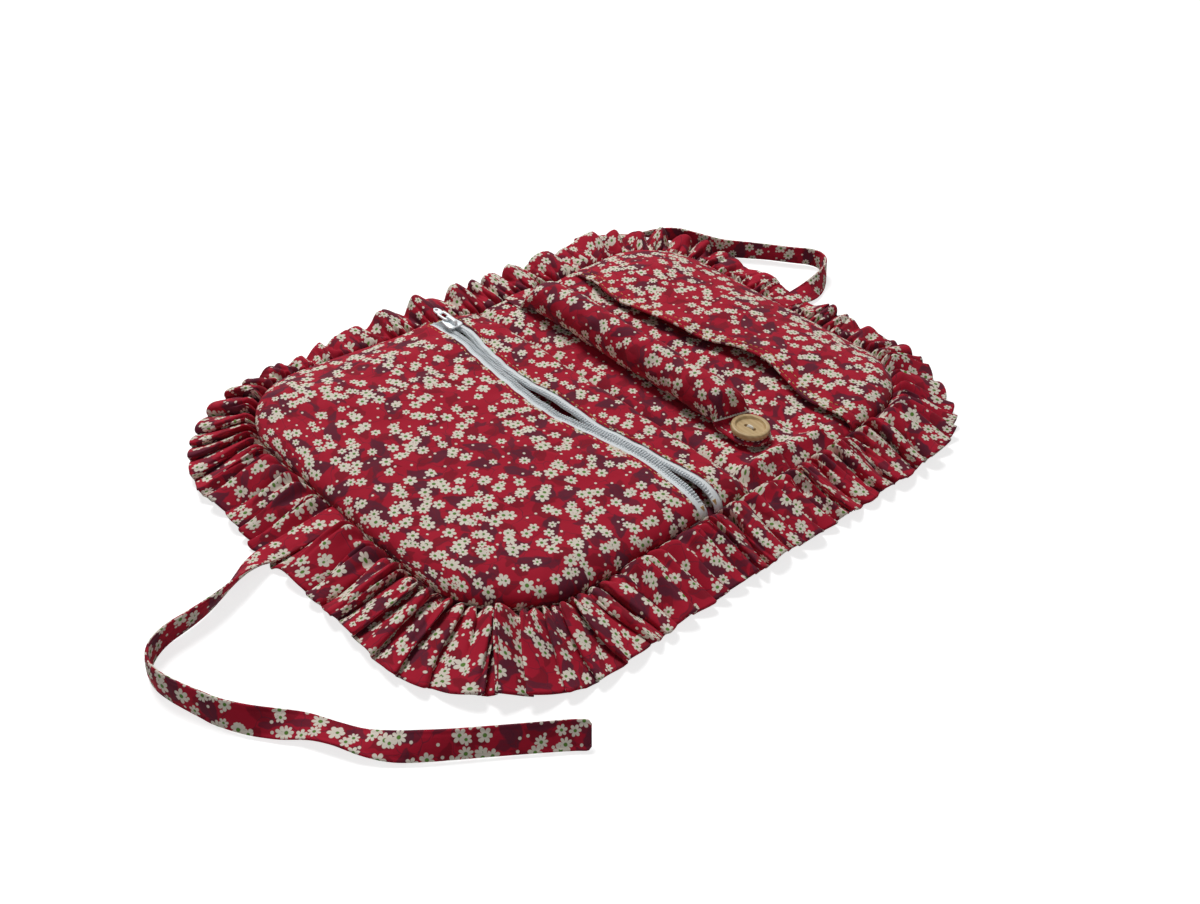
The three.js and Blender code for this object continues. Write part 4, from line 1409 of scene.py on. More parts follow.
@dataclass
class PocketCloth:
    """What the pocket panels share: a plump edge that bulges over the seam, and puckers where it is sewn."""

    plan: Plan
    seam_z: float = 5.0
    edge_radius: float = 14.0
    bulge: float = 1.8
    far_drop: float = 0.55
    far_reach: float = 34.0
    firm_at: Optional[float] = None
    firm_half: float = 17.0
    puff: float = 0.55
    dimple: float = 0.22
    pucker: float = 0.16
    pucker_pitch: float = 8.5
    pucker_reach: float = 9.0
    crease: float = 0.42
    crease_share: float = 0.28
    calm_edge: float = 18.0
    thickness: float = 1.1
    seed: int = 11
    topstitch: Stitch = Stitch(2.5, 0.9, 0.24)
    thread_up: float = 0.12

    def slack(self, x: Array, y: Array) -> Array:
        """Share of the height lost along the far edges, where the cloth lies flatter, except beside a zip.

        Args:
            x: Places along the pad.
            y: Places across it.

        Returns:
            Shares from 0 to 1.
        """
        far = np.clip(self.plan.outward(x, y).sum(-1), 0, 1)
        lost = self.far_drop * far * (1 - smooth(self.plan.edge_distance(x, y) / self.far_reach))
        if self.firm_at is None:
            return lost
        return lost * (1 - bell(x - self.firm_at, self.firm_half))

    def rise(self, x: Array, y: Array) -> Array:
        """Quarter-round rise of the edge, from 0 at the seam to 1."""
        return shoulder(self.plan.edge_distance(x, y), self.edge_radius)

    def sewn_down(self, full: Array, x: Array, y: Array) -> Array:
        """A full height, brought down to the seam along the edge."""
        return self.seam_z + (full - self.seam_z) * (self.rise(x, y) * (1 - self.slack(x, y)))

    def unevenness(self, x: Array, y: Array) -> Array:
        """Soft dents and puffs, fine creases where a ripple is near zero, and puckers in from the seam.

        Args:
            x: Places along the pad.
            y: Places across it.

        Returns:
            Heights to add.
        """
        inside = self.plan.edge_distance(x, y)
        wavelengths = (46.0, 17.0, 60.0, 34.0, 52.0)
        broad, fine, wander, creased, patches = (
            Ripple(wavelength, self.seed + k)(x, y) for k, wavelength in enumerate(wavelengths)
        )
        soft = self.puff * broad + self.dimple * fine
        soft = soft + self.crease * bell(creased, self.crease_share) * smooth(0.2 + patches)
        phase = TAU * self.plan.along_edge(x, y) / self.pucker_pitch + 2.4 * wander
        gather = self.pucker * np.exp(-inside / self.pucker_reach) * np.cos(phase)
        return soft * smooth(inside / self.calm_edge) + gather * smooth(inside / 3.0)

    def bulged(self, points: Array) -> Array:
        """Moves points out over the seam, most at half height, and in with the drawn-in far edge.

        Args:
            points: Points in the pad's frame.

        Returns:
            The points, moved.
        """
        x, y = points[..., 0], points[..., 1]
        rise = self.rise(x, y)
        reach = self.bulge * 4 * rise * (1 - rise) * (1 - self.slack(x, y))
        out = self.plan.outward(x, y) * reach[..., None]
        return self.plan.drawn_in(points + np.concatenate([out, np.zeros_like(out[..., :1])], -1))

    def panel(self, half: Half, last: float, step: float, edge: Line, height: Height) -> Array:
        """Grid of a panel's top: rows from the pad's rounded end, which come to follow a free edge.

        Args:
            half: Which half.
            last: The mean x of the edge.
            step: Distance between rows.
            edge: The edge's x for each y.
            height: The cloth's height at x, y.

        Returns:
            The grid.
        """
        x = self.plan.rows(half, last, step, 40)[:, None]
        y = columns(170)[None, :] * self.plan.half_width_at(x)
        core = half * self.plan.core[0]
        x = x + (edge(y) - last) * smooth((core - x) / (core - last))
        return self.bulged(xyz(x, y, height(x, y)))

    def stitched(self, span: float, edge: Line, inset: float, height: Height) -> Shell:
        """A row of topstitching that lies on the cloth beside a free edge.

        Args:
            span: Share of the pad's width that it runs over.
            edge: The edge's x for each y.
            inset: Distance from the edge, along x.
            height: The cloth's height at x, y.

        Returns:
            The stitches.
        """
        y = np.linspace(-span, span, 400) * self.plan.half_width
        x = edge(y) + inset
        return self.topstitch.row(self.bulged(xyz(x, y, height(x, y) + self.thread_up)))


@dataclass
class ZipLine:
    """The run of the open zip: how its middle wanders from the slider's line, and how its rows gape."""

    plan: Plan
    from_fold: float = 31.0
    wander: Sequence[tuple[float, float]] = (
        (108, 0), (90, 0), (76, -0.8), (55, -4.2), (34, -6.3), (15, -7.0), (0, -6.6), (-20, -5.4),
        (-37, -3.4), (-49, -1.4), (-60, 0.3), (-72, 1.3), (-83, 1.6), (-95, 1.5), (-108, 1.0),
    )
    gape: Sequence[tuple[float, float]] = (
        (108, 2.4), (83, 3.2), (70, 1.2), (40, 0.5), (20, 1.8), (0, 4.8), (-16, 3.6), (-32, 0.7),
        (-60, 0.3), (-76, 0.8), (-90, 4.0), (-100, 5.2), (-108, 5.0),
    )
    band: float = 5.2

    @property
    def middle_x(self) -> float:
        """The slider's line."""
        return self.plan.front_fold - self.from_fold

    def inner(self, row: Row, y: Array) -> Array:
        """Inner edge of a row."""
        return self.middle_x + through(self.wander, y) + row * through(self.gape, y) / 2

    def hem(self, row: Row, y: Array) -> Array:
        """Edge of the cloth beside a row."""
        return self.inner(row, y) + row * self.band


@dataclass
class ZipPocket:
    """The zip pocket's front panel and the strip between the zip and the front fold."""

    plan: Plan
    line: ZipLine
    cloth: PocketCloth
    top_z: float = 15.9
    crown: float = 2.6
    crown_reach: float = 70.0
    strip_setback: float = 2.0
    strip_radius: float = 10.0
    strip_low_z: float = 3.9
    stitch_from_edge: float = 1.7
    stitch_span: float = 0.945
    hem_thin: float = 0.45

    def hem_form(self, from_hem: Array) -> Array:
        """The turned hem: a rounded lip, and a groove where it is stitched down.

        Args:
            from_hem: Distance from the hem.

        Returns:
            Heights to add.
        """
        groove = -0.5 * bell(from_hem - self.stitch_from_edge, 0.7)
        lip = 0.25 * bell(from_hem - 0.7, 0.6)
        return groove + lip - 0.35 * np.exp(-from_hem / 0.3)

    def hem_thickness(self, from_hem: Array) -> Array:
        """Thickness of the cloth, pressed thin along the hem."""
        return self.hem_thin + (self.cloth.thickness - self.hem_thin) * smooth((from_hem - 5.0) / 6.0)

    def panel_height(self, x: Array, y: Array) -> Array:
        """Height of the front panel's top, which crowns away from its edges and drags at the hem.

        Args:
            x: Places along the pad.
            y: Places across it.

        Returns:
            The heights.
        """
        inside = self.plan.edge_distance(x, y)
        from_hem = np.maximum(self.line.hem(Row.FRONT, y) - x, 0)
        crown = self.crown * smooth(inside / self.crown_reach) * smooth(from_hem / self.crown_reach)
        drag = 0.4 * np.exp(-from_hem / 9.0) * Ripple(15.0, 31)(0.25 * x, y)
        soft = self.cloth.unevenness(x, y) * smooth(from_hem / 14.0 + 0.25)
        return self.cloth.sewn_down(self.top_z + crown + soft + drag + self.hem_form(from_hem), x, y)

    def strip_height(self, x: Array, y: Array) -> Array:
        """Height of the strip's top, which drags at the hem and drops into the crease of the fold.

        Args:
            x: Places along the pad.
            y: Places across it.

        Returns:
            The heights.
        """
        from_hem = np.maximum(x - self.line.hem(Row.REAR, y), 0)
        from_fold = self.plan.front_fold - self.strip_setback - x
        soft = self.cloth.unevenness(x, y) * smooth(from_hem / 12.0 + 0.2)
        drag = 0.35 * np.exp(-from_hem / 8.0) * Ripple(14.0, 37)(0.25 * x, y)
        full = self.top_z + soft + drag + self.hem_form(from_hem)
        fold = self.strip_low_z + (full - self.strip_low_z) * shoulder(from_fold, self.strip_radius)
        return self.cloth.sewn_down(fold, x, y)

    def height(self, row: Row, x: Array, y: Array) -> Array:
        """Height of the cloth on a row's side of the zip."""
        return self.panel_height(x, y) if row is Row.FRONT else self.strip_height(x, y)

    def panel_points(self) -> Array:
        """Grid of the panel's top."""
        last = self.line.middle_x - self.line.band
        return self.cloth.panel(Half.FRONT, last, 1.3, partial(self.line.hem, Row.FRONT), self.panel_height)

    def strip_points(self) -> Array:
        """Grid of the strip's top: rows from the hem to the crease.

        Returns:
            The grid.
        """
        t = (0.5 - 0.5 * np.cos(np.linspace(0, math.pi, 34)))[:, None]
        y = columns(170)[None, :] * self.plan.half_width
        start = self.line.hem(Row.REAR, y)
        x = start + (self.plan.front_fold - self.strip_setback - start) * t
        y = np.broadcast_to(y, x.shape)
        return self.cloth.bulged(xyz(x, y, self.strip_height(x, y)))

    def sheet(self, row: Row, points: Array) -> Shell:
        """The cloth under a grid of its top, pressed thin along the hem."""
        from_hem = row * (points[..., 0] - self.line.hem(row, points[..., 1]))
        return sheet_shell(points, self.hem_thickness(from_hem))

    def topstitch(self, row: Row) -> Shell:
        """The topstitching beside a row of the zip."""
        edge, height = partial(self.line.hem, row), partial(self.height, row)
        return self.cloth.stitched(self.stitch_span, edge, row * self.stitch_from_edge, height)

    def build(self, shop: Workshop) -> None:
        """Makes the panel, the strip and their topstitching.

        Args:
            shop: Makes and places the pieces.
        """
        panel, strip = self.sheet(Row.FRONT, self.panel_points()), self.sheet(Row.REAR, self.strip_points())
        piece = shop.add("zip_panel_cloth", panel, PRINT, Slot.PRINT, Body.FRONT, ["zip_panel"])
        piece = shop.add("zip_strip_cloth", strip, PRINT, Slot.PRINT, Body.FRONT, ["zip_strip"])
        rows = [self.topstitch(row) for row in Row]
        shop.add("zip_topstitch", merged(rows), GOLD_THREAD, Slot.GOLD, Body.FRONT)


@dataclass
class ZipFastener:
    """The zip: two tapes, a row of nylon teeth on each, and a bartack across each row's ends."""

    pocket: ZipPocket
    tooth_pitch: float = 1.5
    tooth_reach: float = 2.4
    tooth_radius: float = 0.62
    tooth_up: float = 0.62
    tooth_slant: float = 0.25
    chain: Stitch = Stitch(1.5, 0.35, 0.2)
    tape_thickness: float = 0.55
    tape_drop: float = 0.7
    tape_under: float = 6.5
    tape_sag: float = 0.35
    coil_end: float = 106.0
    bartack_y: float = 105.2
    bartack_wide: float = 1.4
    bartack_threads: int = 6

    def tape_height(self, row: Row, y: Array) -> Array:
        """Height of a tape's top, just under the hem beside it."""
        x = self.pocket.line.hem(row, y) + row * 3.0
        return self.pocket.height(row, x, y) - self.tape_drop

    def tape_points(self, row: Row) -> Array:
        """Grid of a tape's top: from the row's inner edge to under the hem, where it sags.

        Args:
            row: Which row of the zip.

        Returns:
            The grid.
        """
        line = self.pocket.line
        y = (columns(300) * (self.pocket.plan.half_width - 0.3))[:, None]
        across = np.linspace(0, line.band + self.tape_under, 14)[None, :]
        sag = self.tape_sag * smooth((across - line.band - 0.4) / 2.0)
        x = line.inner(row, y) + row * across
        return self.pocket.cloth.bulged(xyz(x, y, self.tape_height(row, y) - sag))

    def teeth(self, row: Row) -> Shell:
        """A row of teeth: bars that lie across the tape's inner edge, each with a rounded head.

        Args:
            row: Which row of the zip.

        Returns:
            The teeth.
        """
        y = np.arange(-self.coil_end, self.coil_end, self.tooth_pitch) + 0.25 * row * self.tooth_pitch
        inner = self.pocket.line.inner(row, y)
        z = self.tape_height(row, y) + self.tooth_up
        slope = np.gradient(z, y)
        slant = self.tooth_slant
        head = xyz(inner - 0.25 * row, y, z)
        heel = xyz(inner + self.tooth_reach * row, y + slant, z + slant * slope - 0.12)
        heel, head = (self.pocket.plan.drawn_in(end) for end in (heel, head))
        profile = (0, 0.8, 0.66, 0.62, 0.8, 1.05, 0.8, 0)
        return bars(heel, head, xyz(0.0, -slope, 1.0), self.tooth_radius, 0.12, profile)

    def chain_stitch(self, row: Row) -> Shell:
        """The sewing that holds a coil to its tape.

        Args:
            row: Which row of the zip.

        Returns:
            The stitches.
        """
        y = np.linspace(-self.coil_end, self.coil_end, 500)
        x = self.pocket.line.inner(row, y) + row * (self.tooth_reach + 0.45)
        return self.chain.row(self.pocket.plan.drawn_in(xyz(x, y, self.tape_height(row, y) + 0.1)))

    def bartack(self, end: ZipEnd) -> Shell:
        """Close-laid threads over both rows at one end of the zip.

        Args:
            end: Which end.

        Returns:
            The threads.
        """
        threads = []
        for row in Row:
            y = end * (self.bartack_y + np.linspace(0, self.bartack_wide, self.bartack_threads))
            inner = self.pocket.line.inner(row, y)
            z = self.tape_height(row, y)
            tips = xyz(inner - 0.4 * row, y, z + 0.35), xyz(inner + 3.6 * row, y + 0.12, z + 0.2)
            first, last = (self.pocket.plan.drawn_in(tip) for tip in tips)
            up = np.broadcast_to((0.0, end, 1.0), first.shape)
            threads.append(bars(first, last, up, 0.2, 1.3, (0, 0.8, 1, 1, 1, 0.8, 0)))
        return merged(threads)

    def build(self, shop: Workshop) -> None:
        """Makes the tapes, the rows of teeth and the bartacks.

        Args:
            shop: Makes and places the pieces.
        """
        tape = ZipTape()
        for row in Row:
            name = row.name.lower()
            shell = sheet_shell(self.tape_points(row), self.tape_thickness)
            covered = [f"zip_tape_{name}"]
            piece = shop.add(f"zip_tape_{name}_woven", shell, tape, Slot.TAPE, Body.FRONT, covered)
            toothed = merged([self.teeth(row), self.chain_stitch(row)])
            shop.add(f"zip_teeth_{name}", toothed, NYLON, Slot.COIL, Body.FRONT, [f"zip_coil_{name}"])
        for end in ZipEnd:
            name = end.name.lower()
            covered = [f"zip_bartack_{name}"]
            shop.add(f"zip_tack_{name}", self.bartack(end), GOLD_THREAD, Slot.GOLD, Body.FRONT, covered)


@dataclass
class ZipSlider:
    """The slider: two plates with rounded edges and a post between them, a crown on top, and a pull in it."""

    plan: Plan
    length: float = 10.5
    wide: float = 4.8
    narrow: float = 3.8
    edge: float = 0.45
    plate_thickness: float = 1.2
    crown_height: float = 2.9
    crown_width: float = 1.1
    crown_wall: float = 0.55
    pull_inner: float = 1.45
    pull_outer: float = 2.65
    eye_half: float = 4.4
    tail_half: float = 3.4
    tail_width: float = 2.0
    hole_radius: float = 0.85

    def place(self, node: str) -> tuple[Array, Array]:
        """Lowest and highest corner of a CAD node in the pad's frame.

        Args:
            node: The CAD node.

        Returns:
            The two corners.
        """
        middle = np.array([*self.plan.middle, 0.0])
        low, high = (np.array(corner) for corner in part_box(node))
        return (low - middle) / MM, (high - middle) / MM

    def plate(self, low_z: float, high_z: float) -> Shell:
        """A plate, wider where the rows part: a rounded outline, stacked and drawn in at top and bottom.

        Args:
            low_z: Height of its bottom.
            high_z: Height of its top.

        Returns:
            A closed surface.
        """
        turn = np.linspace(0, TAU, 49)
        along = self.length / 2 * squared(np.sin(turn), 0.55)
        share = smooth(along / self.length + 0.5)
        half = self.wide + (self.narrow - self.wide) * share
        outline = np.stack([half * squared(np.cos(turn), 0.45), along], -1)
        steps = np.array([(self.edge, low_z), (0.12, low_z + 0.12), (0, low_z + self.edge),
                          (0, high_z - self.edge), (0.12, high_z - 0.12), (self.edge, high_z)])
        size = np.array([self.wide, self.length / 2])
        rings = [np.column_stack([outline * (1 - inset / size), np.full(len(turn), z)]) for inset, z in steps]
        return grid_shell(capped(np.array(rings)))

    def crown(self, base_z: float, top_z: float) -> Shell:
        """The crown: a flat strip bent in an arch along the slider.

        Args:
            base_z: Height it stands on.
            top_z: Height of its top.

        Returns:
            A closed surface.
        """
        turn = np.linspace(0, math.pi, 41)
        half, rise = self.length / 2 - 1.75, top_z - base_z - self.crown_wall
        y = -half * squared(np.cos(turn), 0.35)
        z = base_z - 0.3 + (rise + 0.3) * np.abs(np.sin(turn)) ** 0.35
        line = xyz(0.0, y, z)
        ahead = np.gradient(line, axis=0)
        ahead /= np.linalg.norm(ahead, axis=1, keepdims=True)
        across = np.broadcast_to((1.0, 0.0, 0.0), line.shape)
        section = rounded_outline(self.crown_width, self.crown_wall, 0.5, 16)
        return grid_shell(capped(sweep(line, across, np.cross(ahead, across), section)))

    @staticmethod
    def hoop(outer: Array, inner: Array, middle_z: float, half_z: float) -> Shell:
        """A flat hoop: a rounded section between an outer and an inner outline, carried round them.

        Args:
            outer: Outer outline.
            inner: Inner outline, with as many points.
            middle_z: Height of its middle.
            half_z: Half its thickness.

        Returns:
            A closed surface.
        """
        turn = np.linspace(0, TAU, 17)
        across, up = squared(np.cos(turn), 0.5), squared(np.sin(turn), 0.5)
        centre, half = (outer + inner) / 2, (outer - inner) / 2
        flat = centre[:, None] + half[:, None] * across[None, :, None]
        z = np.broadcast_to(middle_z + half_z * up[None, :], flat.shape[:2])
        return grid_shell(np.concatenate([flat, z[..., None]], -1))

    def pull(self, low: Array, high: Array) -> Shell:
        """The pull: a long eye round the crown, and a drop-shaped tail with a hole.

        Args:
            low: Lowest corner of the pull's space.
            high: Its highest corner.

        Returns:
            The pull.
        """
        x = (low[0] + high[0]) / 2
        z = (low[2] + high[2]) / 2
        half_z = (high[2] - low[2]) / 2
        eye_y = low[1] + self.eye_half + 0.1
        slot = rounded_outline(self.pull_inner, self.eye_half - 1.1, 0.35, 48)
        rim = rounded_outline(self.pull_outer, self.eye_half, 0.5, 48)
        turn = np.linspace(0, TAU, 49)
        tail_y = high[1] - self.tail_half
        width = self.tail_width * (1 - 0.16 * np.sin(turn))
        drop = np.stack([width * np.cos(turn), self.tail_half * np.sin(turn)], -1)
        hole = self.hole_radius * np.stack([np.cos(turn), np.sin(turn)], -1) + (0, 1.3)
        eye = self.hoop(rim + (x, eye_y), slot + (x, eye_y), z, half_z)
        tail = self.hoop(drop + (x, tail_y), hole + (x, tail_y), z, half_z)
        return merged([eye, tail])

    def build(self, shop: Workshop) -> None:
        """Makes the slider and its pull where their CAD nodes are.

        Args:
            shop: Makes and places the pieces.
        """
        low, high = self.place("zip_slider")
        middle = np.array([(low[0] + high[0]) / 2, (low[1] + high[1]) / 2, 0.0])
        deck, thick = high[2] - self.crown_height, self.plate_thickness
        web = rounded_outline(1.8, 2.8, 0.8, 24)
        levels = (low[2] + thick / 2, deck - thick / 2)
        post = np.stack([np.column_stack([web, np.full(len(web), z)]) for z in levels])
        plates = [self.plate(low[2], low[2] + thick), self.plate(deck - thick, deck)]
        shells = [*plates, grid_shell(capped(post)), self.crown(deck, high[2])]
        shell = merged([s._replace(points=s.points + middle) for s in shells])
        shop.add("zip_slider_body", shell, ENAMEL, Slot.ENAMEL, Body.SLIDER, ["zip_slider"])
        pull = self.pull(*self.place("zip_pull"))
        shop.add("zip_pull_tab", pull, ENAMEL, Slot.ENAMEL, Body.PULL, ["zip_pull"])


@dataclass
class SlipPocket:
    """The slip pocket over the back half, with a wavy, gaping, twice-stitched mouth."""

    plan: Plan
    cloth: PocketCloth
    from_fold: float = 17.0
    top_z: float = 14.9
    sway: Sequence[tuple[float, float]] = (
        (108, -3.0), (87, -5.0), (68, -8.5), (47, -8.6), (28, -7.4), (-5, -2.0), (-27, 5.4), (-45, 7.2),
        (-62, 4.5), (-77, 1.0), (-94, 1.8), (-108, 2.6),
    )
    lift: Sequence[tuple[float, float]] = (
        (108, -0.6), (84, -1.0), (60, -2.2), (36, 0.2), (14, 1.2), (-8, -0.6), (-30, 1.5), (-46, 1.2),
        (-62, -1.4), (-80, -2.6), (-108, -0.6),
    )
    fade: float = 26.0
    stitch_lines: tuple[float, float] = (1.8, 6.2)
    stitch_span: float = 0.94

    @property
    def mouth_x(self) -> float:
        """The mouth's mean line."""
        return self.plan.back_fold + self.from_fold

    def mouth(self, y: Array) -> Array:
        """Edge of the mouth at y."""
        return self.mouth_x + through(self.sway, y)

    def height(self, x: Array, y: Array) -> Array:
        """Height of the pocket's top, with a groove under each line of stitching and a lip at the mouth.

        Args:
            x: Places along the pad.
            y: Places across it.

        Returns:
            The heights.
        """
        from_mouth = np.maximum(x - self.mouth(y), 0)
        loose = through(self.lift, y) * (1 - smooth(from_mouth / self.fade))
        groove = sum(-0.4 * bell(from_mouth - at, 0.7) for at in self.stitch_lines)
        lip = -0.35 * np.exp(-from_mouth / 0.4) + 0.25 * bell(from_mouth - 4.0, 1.4)
        soft = self.cloth.unevenness(x, y) * smooth(from_mouth / 12.0 + 0.3)
        return self.cloth.sewn_down(self.top_z + loose + groove + lip + soft, x, y)

    def build(self, shop: Workshop) -> None:
        """Makes the pocket and its two lines of topstitching.

        Args:
            shop: Makes and places the pieces.
        """
        points = self.cloth.panel(Half.BACK, self.mouth_x, 0.9, self.mouth, self.height)
        shell = sheet_shell(points, self.cloth.thickness)
        piece = shop.add("slip_pocket_cloth", shell, PRINT, Slot.PRINT, Body.BACK, ["slip_pocket_panel"])
        rows = [
            self.cloth.stitched(self.stitch_span, self.mouth, inset, self.height)
            for inset in self.stitch_lines
        ]
        shop.add("slip_topstitch", merged(rows), GOLD_THREAD, Slot.GOLD, Body.BACK)


@dataclass
class RingRoll:
    """The stuffed ring roll, sewn down at its far end, with a stitched tab for the button at its near end."""

    plan: Plan
    radius: float = 10.5
    seat_z: float = 7.75
    sewn_y: float = 84.0
    anchor_y: float = 97.5
    tab_end_y: float = -68.0
    taper: float = 17.0
    tab_taper: float = 11.0
    flat_half: float = 1.0
    tab_z: float = 10.2
    tab_thickness: float = 2.1
    tab_half: float = 11.0
    tab_reach: float = 12.0
    seam_rise: float = 2.6
    skew: float = 0.25
    skew_reach: float = 18.0
    rest_flat: float = 0.93
    bend_half: float = 5.0
    edge_inset: float = 2.1
    edge_stitch: Stitch = Stitch(1.9, 0.8, 0.22)
    seam_stitch: Stitch = Stitch(1.9, -0.35, 0.55)

    @property
    def middle_x(self) -> float:
        """The roll lies along the middle of the spine."""
        return self.plan.spine_middle

    @property
    def button_y(self) -> float:
        """Middle of the tab's round end."""
        return self.tab_end_y - 0.3 - self.tab_reach

    def skewed(self, points: Array) -> Array:
        """Turns the roll's tab end a little, so that its seam does not lie square to the roll.

        Args:
            points: Points in the pad's frame.

        Returns:
            The points, moved along Y.
        """
        from_end = np.abs(points[..., 1] - self.tab_end_y)
        slide = -self.skew * (points[..., 0] - self.middle_x) * (1 - smooth(from_end / self.skew_reach))
        return points + slide[..., None] * np.array([0.0, 1.0, 0.0])

    def roll_shell(self) -> Shell:
        """The roll: rings flattened where they rest, flat at the sewn end and the tab and round between.

        Returns:
            A closed surface.
        """
        steps = 1 - np.cos(np.linspace(0, math.pi / 2, 26))
        middle = np.linspace(self.sewn_y - self.taper, self.tab_end_y + self.tab_taper, 76)[1:-1]
        anchor = np.linspace(self.anchor_y, self.sewn_y + 0.5, 14)
        tab_rows = self.tab_end_y + self.tab_taper * steps[::-1]
        y = np.concatenate([anchor, self.sewn_y - self.taper * steps, middle, tab_rows])[:, None]
        from_sewn, from_tab = self.sewn_y - y, y - self.tab_end_y
        round_share = np.minimum(shoulder(from_sewn, self.taper), shoulder(from_tab, self.tab_taper))
        half = self.flat_half + (self.radius - self.flat_half) * round_share
        half = half * (1 + 0.035 * Ripple(34.0, 3)(y, 0 * y) * round_share)
        raised = (self.tab_z - self.seat_z) * (1 - smooth(from_tab / self.tab_taper))
        turn = np.linspace(0, TAU, 65)[None, :]
        drawn = 4 * round_share * (1 - round_share) + 0.5 * bell(from_tab, 16.0)
        creases = 0.34 * np.cos(11 * turn + 2.0 * Ripple(30.0, 8)(y, turn)) * drawn
        slanted = y + 6.0 * np.cos(turn)
        around = 9 * np.sin(turn)
        dents = 0.34 * Ripple(15.0, 9)(slanted, around) + 0.16 * Ripple(7.0, 10)(slanted, around)
        swell = 1 + (creases + dents * round_share) / self.radius
        x = self.middle_x + (self.radius - 0.4 * round_share) * np.cos(turn) * swell
        z = half * np.maximum(np.sin(turn) * swell, -self.rest_flat)
        rings = xyz(x, y, self.seat_z + raised + half + z)
        rings[:, -1] = rings[:, 0]
        return grid_shell(self.skewed(capped(rings)))

    def tab_half_width(self, y: Array) -> Array:
        """Half the tab's width at y: straight, then round about the button."""
        past = np.clip(self.button_y - y, 0, self.tab_half)
        return np.sqrt(np.maximum(self.tab_half**2 - past**2, 0))

    def tab_shell(self) -> Shell:
        """The tab: two layers drawn together round the edge, with a stitched groove and a rise to the seam.

        Returns:
            A closed surface.
        """
        start, end = self.tab_end_y + 0.6, self.button_y - self.tab_half
        straight = np.linspace(start, self.button_y, 14)
        bend = self.button_y - self.tab_half * np.sin(np.linspace(0, math.pi / 2, 30))
        y = np.concatenate([straight, bend[1:]])[:, None]
        x = columns(48)[None, :] * self.tab_half_width(y)
        edge = np.minimum(self.tab_half_width(y) - np.abs(x), y - end)
        share = shoulder(edge, 1.6)
        groove = -0.35 * bell(edge - self.edge_inset, 0.6)
        middle = self.tab_z + self.tab_thickness / 2
        soft = 0.15 * Ripple(9.0, 21)(x, y)
        rise = self.seam_rise * (1 - smooth((start - y) / 3.4))
        top = middle + rise + (self.tab_thickness / 2 + groove + soft) * share
        low = middle + rise - self.tab_thickness / 2 * share
        loop = two_faced(x, y, top, low)
        closing = loop[:1].copy()
        closing[..., 2] = middle + self.seam_rise
        return grid_shell(self.skewed(np.concatenate([closing, loop]) + (self.middle_x, 0, 0)))

    def tab_stitches(self) -> Shell:
        """White stitching a little inside the tab's edge.

        Returns:
            The stitches.
        """
        inset = self.tab_half - self.edge_inset
        turn = np.linspace(0, math.pi, 60)
        arc = np.stack([inset * np.cos(turn), self.button_y - inset * np.sin(turn)], -1)
        legs = [np.array([[side * inset, self.tab_end_y - 1.2]]) for side in (1, -1)]
        path = np.concatenate([legs[0], arc, legs[1]])
        height = np.full((len(path), 1), self.tab_z + self.tab_thickness - 0.1)
        return self.edge_stitch.row(self.skewed(np.hstack([path + (self.middle_x, 0), height])))

    def end_seam(self) -> Shell:
        """A cord-like row of close white stitches across the roll where the tab is joined on.

        Returns:
            The stitches.
        """
        x = self.middle_x + np.linspace(-self.tab_half, self.tab_half, 40)
        z = self.tab_z + self.tab_thickness + self.seam_rise - 0.1
        return self.seam_stitch.row(self.skewed(xyz(x, self.tab_end_y - 0.4, z)))

    def build(self, shop: Workshop) -> None:
        """Makes the roll, its tab and their stitching.

        Args:
            shop: Makes and places the pieces.
        """
        covered = ["ring_roll_cover", "ring_roll_stuffing", "ring_roll_anchor"]
        roll = shop.add("ring_roll_padded", self.roll_shell(), PRINT, Slot.PRINT, stands_for=covered)
        start, end = ((0, self.sewn_y + away, 0) for away in (self.bend_half, -self.bend_half))
        shop.bend(roll, Body.SPINE, Body.ROLL, start, end)
        covered = ["ring_roll_tab"]
        tab = shop.add("ring_roll_tab_cloth", self.tab_shell(), PRINT, Slot.PRINT, Body.ROLL, covered)
        shop.add("tab_edge_stitch", self.tab_stitches(), WHITE_THREAD, Slot.WHITE, Body.ROLL)
        covered = ["ring_roll_end_stitch"]
        shop.add("roll_end_stitch", self.end_seam(), WHITE_THREAD, Slot.WHITE, Body.ROLL, covered)
        for node in ("press_stud_socket", "press_stud_ball"):
            shop.dress_node(node, STEEL)


